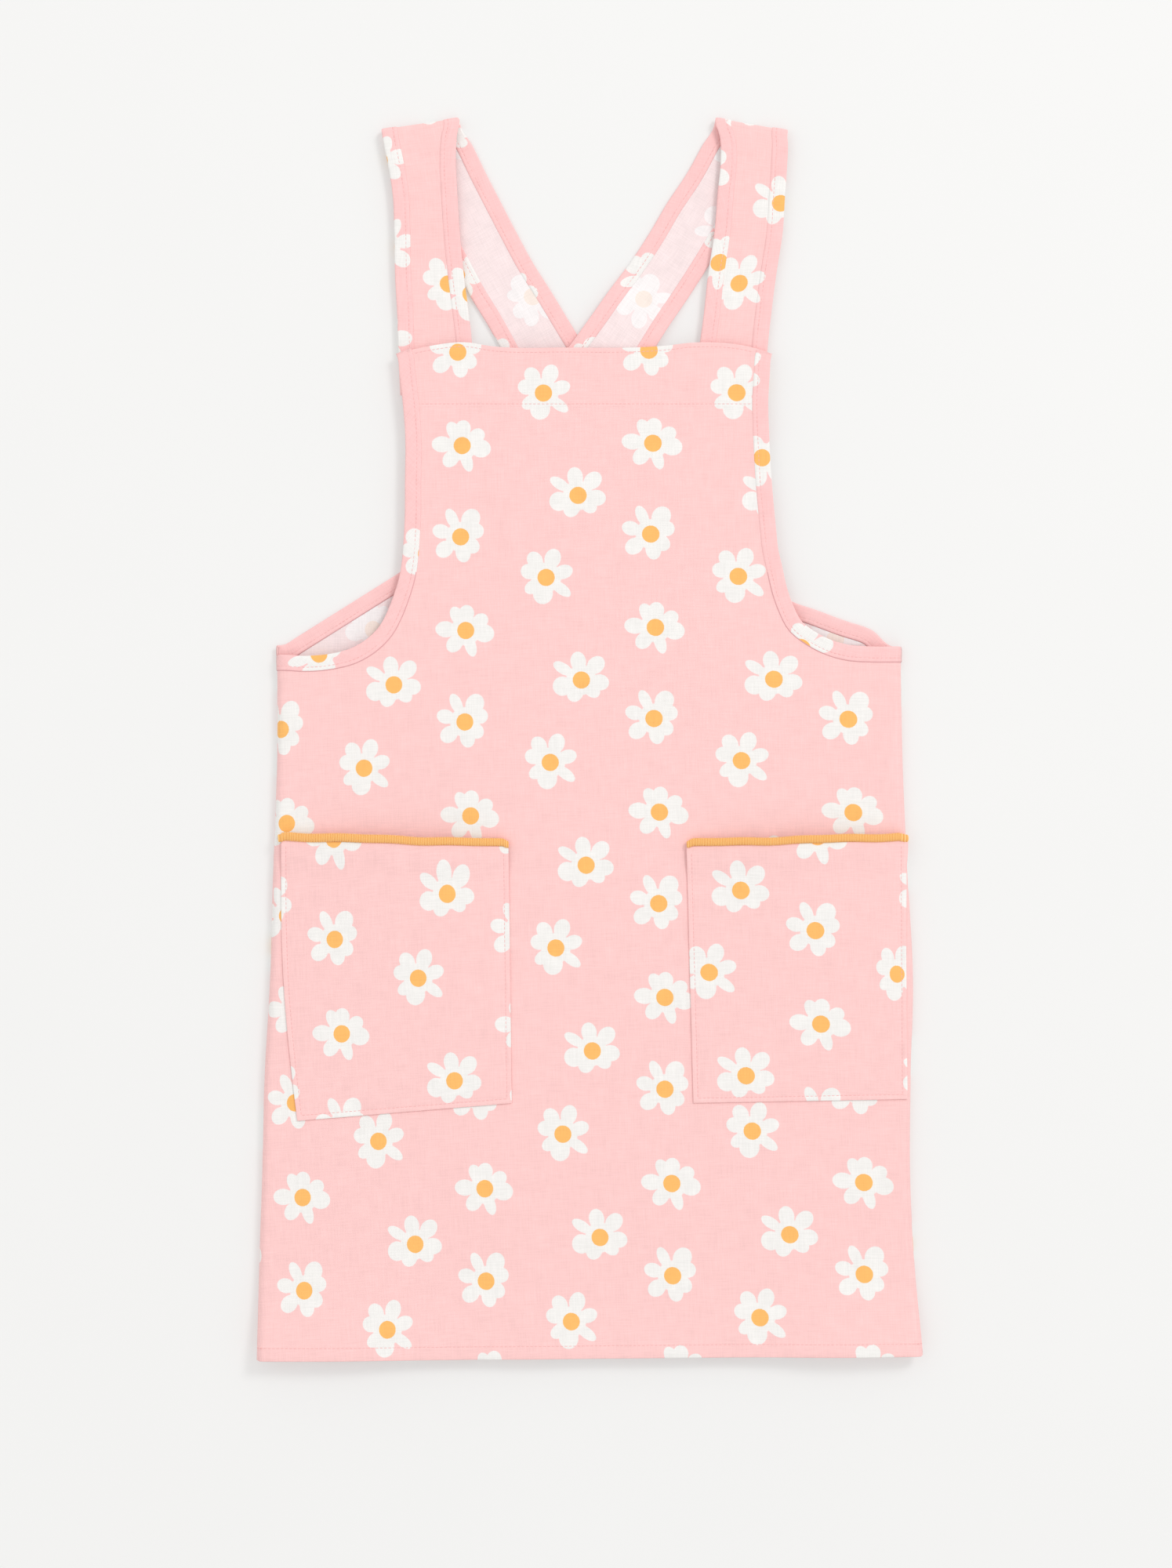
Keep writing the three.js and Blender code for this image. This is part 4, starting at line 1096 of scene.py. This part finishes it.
# %% Bands of the straps
def strap_band(name, side, at_neck, start, turn):
    surface, _, stations, span = strap_pieces[side][2]

    def skin(distance):
        from_edge = edge_inset + distance
        from_arm = span - from_edge if at_neck else np.full_like(span, from_edge)
        return strap_skin(side, surface, stations, from_arm)

    return band_mesh(name, stations, skin, start, turn, 0.0, [binding_face])


strap_bands = {}
band_starts = {
    ("neck", "left"): ((57.8, 94.2), 95.0), ("neck", "right"): ((35.1, 42.7), 109.5),
    ("arm", "left"): ((-15.4, -38.8), 87.4), ("arm", "right"): ((80.9, -43.1), 90.0),
}
for (edge, side), place in band_starts.items():
    name = f"neck_band_{side}" if edge == "neck" else f"shoulder_band_{side}"
    strap_bands[edge, side] = strap_band(name, side, edge == "neck", *place)

# %% [markdown]
# ## The back panels
# The two back halves lie face down on the table, so their pale wrong side is up. They meet the
# front at the side folds, and their bound upper edges rise in a slant to the straps. They are
# only seen through the armholes and from low down, but they carry the shape of the side folds.

# %% Back surface
back_slant = {"left": (6.8, 0.628)}     # rise at the side fold and slope of the left back edge


def back_line(side):
    sign = -inwards[side]
    necks, arms = strap_ends_3d[other_side[side]]
    way = necks[-1] - necks[-2]
    way[2] = 0
    way = way / np.linalg.norm(way)
    neck = necks[-1] + way * gap
    arm = arms[-1] + way * gap
    underarm = underarm_up(side)
    flat = float(flat_half(side, underarm))
    seam = float(seam_along(side, underarm))
    points = [(sign * mix(flat, seam, step), underarm) for step in (1.0, 0.67, 0.34)]
    for across, up in zip(back_edge["across"], back_edge[side]):
        points.append((mix(sign * flat, neck[0], across), mix(underarm, neck[1], up)))
    line = smooth_line(np.array(points))
    if side in back_slant:
        rise, slope = back_slant[side]
        inside = flat - np.abs(line[:, 0])
        slant = underarm + rise + slope * np.maximum(inside, 0)
        line[:, 1] = mix(slant, line[:, 1], ease(inside, 75, 150))
        line = smooth_line(line[::2])
    return offset_line(line, -sign * edge_inset), arm[:2]


back_lines = {side: back_line(side) for side in sides}


def back_surface(side):
    line = back_lines[side][0]
    order = np.argsort(line[:, 0])

    def surface(along, y):
        x, turn = round_fold(along, y)
        below = np.interp(along, line[order, 0], line[order, 1]) - y
        lift = (band_half - back_height) * (1 - ease(below, lift_flat, lift_end))
        curl = fold_radius * (1 - np.cos(turn))
        rumple = 0.1 * (soft_creases(x + 40, y) + 0.4) * np.cos(turn) ** 2
        return np.stack(np.broadcast_arrays(
            x, y, back_height + lift * np.cos(turn) ** 2 + curl + rumple + corner_lift(x, y)),
            axis=-1)

    return surface


def open_edge(side, y):
    straight = back_shift - inwards[side] * back_gap / 2
    seam_end = back_lines[side][1]
    return mix(straight, seam_end[0], ease(y, seam_end[1] - strap_width * 2, seam_end[1]))

# %% Back cloth and its bands
back_print = {"left": (-73.7, 5.8), "right": (85.0, -7.0)}


def make_back(side):
    sign = -inwards[side]
    surface = back_surface(side)
    line, seam_end = back_lines[side]
    shares = np.linspace(0, 1, 16)[1:, None]
    tops = np.concatenate([line, line[-1] + (seam_end - line[-1]) * shares])
    seam = sign * seam_along(side, tops[:, 1])
    place = (tops[:, 0] - seam) / (open_edge(side, tops[:, 1]) - seam)
    rows = fine_near(back_hem_rise, fine_top["back"], 4.0, (back_hem_rise + hem_row,))
    levels = levels_up(tops, rows, skirt_rows["back"])
    along = mix(sign * seam_along(side, levels), open_edge(side, levels), place[:, None])
    numbers = np.arange(levels.size).reshape(levels.shape)
    quads = grid_quads(numbers if side == "left" else numbers[::-1])
    u, v = along.ravel(), levels.ravel()
    over = linen / 2 + np.where(v < back_hem_rise + skirt_hem, linen, 0.0)
    v = above_hem(u, v)
    points, normals = skin_at(surface, u, v)
    flat = on_print(2 * sign * seam_along(side, v) - u, v, back_print[side])
    piece = cloth_sheet(f"back_cloth_{side}", points, normals, quads, flat, over, linen / 2,
                        [printed_face, wrong_side], face_up=False)
    return piece, flat_area(np.stack([u, v], axis=1) / 1000, quads)


back_pieces = {side: make_back(side) for side in sides}
back_starts = {"left": (28.7, 63.7), "right": (29.3, 85.5)}
back_bands = {
    side: edge_band(f"back_band_{side}", back_surface(side), back_lines[side][0], inwards[side],
                    back_starts[side], 88.3)
    for side in sides}

# %% [markdown]
# ## The pockets
# A patch pocket is a square of cloth with its edges turned under, sewn to the front on three sides.
# The turned edge is thick and the stitches pull it down, which shows as a fine ridge and groove
# along each side. The mouth stands a little open.

# %% Pocket surface
def pocket_place(side, across, up):
    inner_top, outer_top, outer_bottom, inner_bottom = pocket_corners[side]
    inner_out = mix(inner_bottom[0], inner_top[0], up)
    inner_up = mix(inner_bottom[1], inner_top[1], up)
    outer_out = mix(outer_bottom[0], outer_top[0], up)
    outer_up = mix(outer_bottom[1], outer_top[1], up)
    rise = np.clip(up, 0, 1)
    bow = pocket_bow[side] * np.sin(math.pi * rise) * across
    out = pocket_width * (mix(inner_out, outer_out, across) + bow)
    start = pocket_shift - inwards[side] * pocket_spacing / 2
    x = start - inwards[side] * out
    y = pocket_mouth_up + pocket_height * mix(inner_up, outer_up, across)
    return x, y


def pocket_surface(side):
    def surface(across, up):
        """Point of the pocket for distances in millimetres from its inner side and its bottom."""
        across_share, up_share = across / pocket_width, up / pocket_height
        x, y = pocket_place(side, across_share, up_share)
        base, normal = skin_at(front_surface, x, y)
        width = np.sin(math.pi * np.clip(across_share, 0, 1))
        bulge = pocket_bulge * width * np.clip(up_share, 0, None) ** 1.5
        lift = (trim_wall + gap) * ease(up_share, 0.86, 0.96)
        to_edge = np.minimum(np.minimum(across, pocket_width - across), up)
        mouth = 1 - ease(up_share, 0.9, 1.0)
        ridge = 0.15 * np.exp(-((to_edge - 1.2) / 1.3) ** 2)
        groove = 0.14 * np.exp(-((to_edge - pocket_seam) / 0.8) ** 2) * mouth
        inside = 0.25 * ease(to_edge, 3.5, 9.0)
        height = cloth + 0.1 + lift + bulge + ridge - groove + inside
        return base + normal * height[..., None]

    return surface


def pocket_skin(side, surface, across, up):
    return skin_at(surface, across, up, 0.25, -inwards[side])

# %% Pocket cloth
pocket_print = {"left": (33.5, -16.4), "right": (-25.9, -18.7)}
mouth_pull = {"left": 6.0, "right": 2.0}     # the print is drawn up under the trim
side_gather = {"left": 0.0, "right": 6.5}    # and drawn in at the right pocket's outer side


def make_pocket(side):
    surface = pocket_surface(side)
    near_edge = (0, 0.5, 1.0, 1.5, 2.0, 2.5, 3.0, 3.5, 4.0, 4.8, 6.0, 7.5)
    far_edge = [pocket_width - place for place in reversed(near_edge)]
    across = np.array([*near_edge, *np.linspace(10, pocket_width - 10, 47), *far_edge])
    up = np.array([*near_edge, *np.linspace(10, pocket_height - (trim_wall + gap), 60)])
    numbers = np.arange(across.size * up.size).reshape(across.size, up.size)
    quads = grid_quads(numbers[::-1] if side == "left" else numbers)
    u, v = [places.ravel() for places in np.meshgrid(across, up, indexing="ij")]
    points, normals = pocket_skin(side, surface, u, v)
    x, y = pocket_place(side, u / pocket_width, v / pocket_height)
    pull = mouth_pull[side] * ease(v / pocket_height, 0.80, 1.0)
    gather = side_gather[side] * ease(u / pocket_width, 0.80, 1.0)
    flat = on_print(x + gather, y - pull, pocket_print[side])
    piece = cloth_sheet(f"pocket_cloth_{side}", points, normals, quads, flat, linen / 2, linen / 2,
                        [printed_face, wrong_side])
    return piece, flat_area(np.stack([u, v], axis=1) / 1000, quads), surface


pocket_pieces = {side: make_pocket(side) for side in sides}

# %% [markdown]
# ## The yellow trim
# A narrow ribbed strip of yarn is folded over each pocket mouth. Its ribs run across it, a little
# over a millimetre apart. They are modelled for real: the strip is drawn at four stations for each
# rib, higher in the middle of the rib and lower between two.

# %% Ribbed trim
trim_rise = 4.2                 # the trim stands partly above the pocket mouth
rib_depth = 0.20                # how much thinner the trim is between two ribs, as a share
trim_sides = 20                 # points round the trim


def make_trim(side):
    surface = pocket_pieces[side][2]
    overhang = trim_overhang if side == "left" else 0.0
    stations = np.arange(-overhang * 0.3, pocket_width + overhang + 0.01, rib_pitch / 4)
    rib = 0.5 + 0.5 * np.cos(2 * math.pi * stations / rib_pitch)
    end = np.minimum(stations - stations[0], stations[-1] - stations)
    taper = 0.72 + 0.28 * np.sqrt(np.clip(end / 2.2, 0, 1))
    swell = (1.0 - rib_depth * (1 - rib)) * taper
    sway = 0.35 * np.sin(stations / 13.0) + 0.25 * np.sin(stations / 6.1 + 1.0)
    droop = 1.5 * (1 - ease(end, 0.0, 5.0))
    middle = pocket_height - trim_width / 2 + trim_rise + sway - droop
    half_wide, half_thick = trim_width / 2 + 0.25, cloth / 2 + gap + trim_wall
    normal = pocket_skin(side, surface, stations, middle)[1]
    rows, flat_rows = [], []
    for place, angle in enumerate(np.linspace(0, 2 * math.pi, trim_sides, endpoint=False)):
        reach, rise = math.cos(angle), math.sin(angle)
        reach = math.copysign(abs(reach) ** 0.75, reach)
        rise = math.copysign(abs(rise) ** 0.8, rise)
        base = surface(stations, middle + reach * half_wide * swell)
        rows.append(base + normal * (rise * half_thick * swell)[:, None])
        flat_rows.append(np.stack([stations, np.full_like(stations, float(place))], axis=1) / 1000)
    return ring_mesh(f"pocket_trim_{side}_yarn", rows, flat_rows, [yellow_yarn])


trims = {side: make_trim(side) for side in sides}

# %% [markdown]
# ## The stitches
# Every seam is sewn with pink thread, three millimetres to a stitch. One stitch is a small long
# bead that sinks into the cloth at both ends. It is modelled once, from a sphere, and copied
# along each seam.

# %% One stitch
stitch_half = (1.15, 0.24, 0.20)        # half its length, width and height

bpy.ops.object.select_all(action="DESELECT")
bpy.ops.mesh.primitive_uv_sphere_add(segments=6, ring_count=5, radius=1.0)
pattern_stitch = bpy.context.object
bpy.ops.object.mode_set(mode="EDIT")
bpy.ops.mesh.select_all(action="SELECT")
bpy.ops.transform.rotate(value=math.radians(90), orient_axis="Y", center_override=(0, 0, 0))
bpy.ops.transform.resize(value=stitch_half)
bpy.ops.object.mode_set(mode="OBJECT")
stitch_points = np.array([tuple(vertex.co) for vertex in pattern_stitch.data.vertices])
stitch_faces = [tuple(face.vertices) for face in pattern_stitch.data.polygons]
bpy.data.objects.remove(pattern_stitch)
print("stitch size in mm:", np.round(stitch_points.max(axis=0) - stitch_points.min(axis=0), 2))


def stitch_rows(name, rows):
    """One piece of thread for many rows. A row is its points and the way up at each."""
    points, faces = [], []
    count = 0
    for line, ups in rows:
        run = lengths_along(line)
        places = np.arange(stitch_pitch / 2, run[-1], stitch_pitch)
        at = points_at(places, run, line)
        way = points_at(places + 0.5, run, line) - points_at(places - 0.5, run, line)
        way = way / np.linalg.norm(way, axis=1, keepdims=True)
        aside = np.cross(points_at(places, run, ups), way)
        aside = aside / np.linalg.norm(aside, axis=1, keepdims=True)
        up = np.cross(way, aside)
        for place in range(len(places)):
            shape = (stitch_points[:, :1] * way[place] + stitch_points[:, 1:2] * aside[place]
                     + stitch_points[:, 2:] * up[place])
            points.append(at[place] + shape)
            faces += [tuple(number + count for number in face) for face in stitch_faces]
            count += len(stitch_points)
    points = np.concatenate(points)
    piece = finish_mesh(name, points, faces, points[:, :2] / 1000, [0] * len(faces), [pink_thread])
    print(name, "has", sum(len(face) - 2 for face in faces), "triangles")
    return piece


def raised(skin, height):
    """A row of points lifted off the cloth, and the way up at each."""
    base, ups = skin
    return base + ups * height, ups

# %% Stitches of the front and back
band_stitch = band_width - 2.6          # from the middle of a band's fold to its stitches
band_seat = band_top - 0.10             # and their height


def band_row(surface, line, to_cloth):
    return raised(skin_at(surface, *offset_line(line, to_cloth * band_stitch).T), band_seat)


def make_front_stitches():
    rows = [band_row(front_surface, front_lines[side], -inwards[side]) for side in sides]
    hem = np.linspace(-seam_along("left", hem_row) + 1, seam_along("right", hem_row) - 1, 300)
    share = np.linspace(0.045, 0.955, 160)
    places = [(hem, above_hem(hem, np.full(300, hem_row))),
              (np.linspace(-121.5, 113.0, 160), np.full(160, bib_row)),
              (mix(-134.5, 125.7, share), bib_top - top_dip(share) - top_inset)]
    rows += [raised(skin_at(front_surface, u, v), linen / 2) for u, v in places]
    return stitch_rows("front_stitches", rows)


front_stitches = make_front_stitches()


def make_back_stitches(side):
    surface = back_surface(side)
    up = np.linspace(back_hem_rise + 8, back_lines[side][1][1] - 12, 220)
    across = open_edge(side, up) - inwards[side] * 8.0
    rows = [band_row(surface, back_lines[side][0], inwards[side]),
            raised(skin_at(surface, across, up), linen / 2)]
    return stitch_rows(f"back_stitches_{side}", rows)


back_stitches = {side: make_back_stitches(side) for side in sides}

# %% Stitches of the straps and pockets
def make_strap_stitches(side):
    surface, _, stations, span = strap_pieces[side][2]
    inset = edge_inset + band_stitch
    rows = []
    for from_arm in (np.full_like(span, inset), span - inset):
        base, ups = strap_skin(side, surface, stations, from_arm)
        rows += [(base + ups * band_seat, ups), (base - ups * band_seat, -ups)]
    return stitch_rows(f"strap_stitches_{side}", rows)


def make_pocket_stitches(side):
    surface = pocket_pieces[side][2]
    up = np.linspace(pocket_seam, pocket_height - trim_width - 0.5, 90)
    across = np.linspace(pocket_seam, pocket_width - pocket_seam, 80)
    paths = [(np.full(90, pocket_seam), up[::-1]), (across, np.full(80, pocket_seam)),
             (np.full(90, pocket_width - pocket_seam), up)]
    rows = [raised(pocket_skin(side, surface, u, v), linen / 2) for u, v in paths]
    return stitch_rows(f"pocket_stitches_{side}", rows)


strap_stitches = {side: make_strap_stitches(side) for side in sides}
pocket_stitches = {side: make_pocket_stitches(side) for side in sides}

# %% [markdown]
# ## Joining the pieces to the frame
# The apron has one body, since cloth has no joints. Each piece rides on it, and the solids
# that it stands for are hidden.

# %% Ride and replace
def dress(piece, slot, *nodes):
    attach(piece, "root")
    if nodes:
        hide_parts(*nodes)


dress(front_cloth, "printed_cloth", "front_panel")
dress(front_stitches, "printed_cloth")
for side in sides:
    dress(back_pieces[side][0], "printed_cloth", f"back_panel_{side}")
    dress(strap_pieces[side][0], "printed_cloth", f"strap_{side}")
    dress(pocket_pieces[side][0], "printed_cloth", f"pocket_{side}")
    dress(armhole_bands[side], "binding_cloth", f"armhole_binding_{side}")
    dress(back_bands[side], "binding_cloth", f"back_binding_{side}")
    dress(strap_bands["neck", side], "binding_cloth", f"neck_binding_{side}")
    dress(strap_bands["arm", side], "binding_cloth", f"shoulder_binding_{side}")
    dress(trims[side], "trim_yarn", f"pocket_trim_{side}")
    for thread in (back_stitches[side], strap_stitches[side], pocket_stitches[side]):
        dress(thread, "printed_cloth")
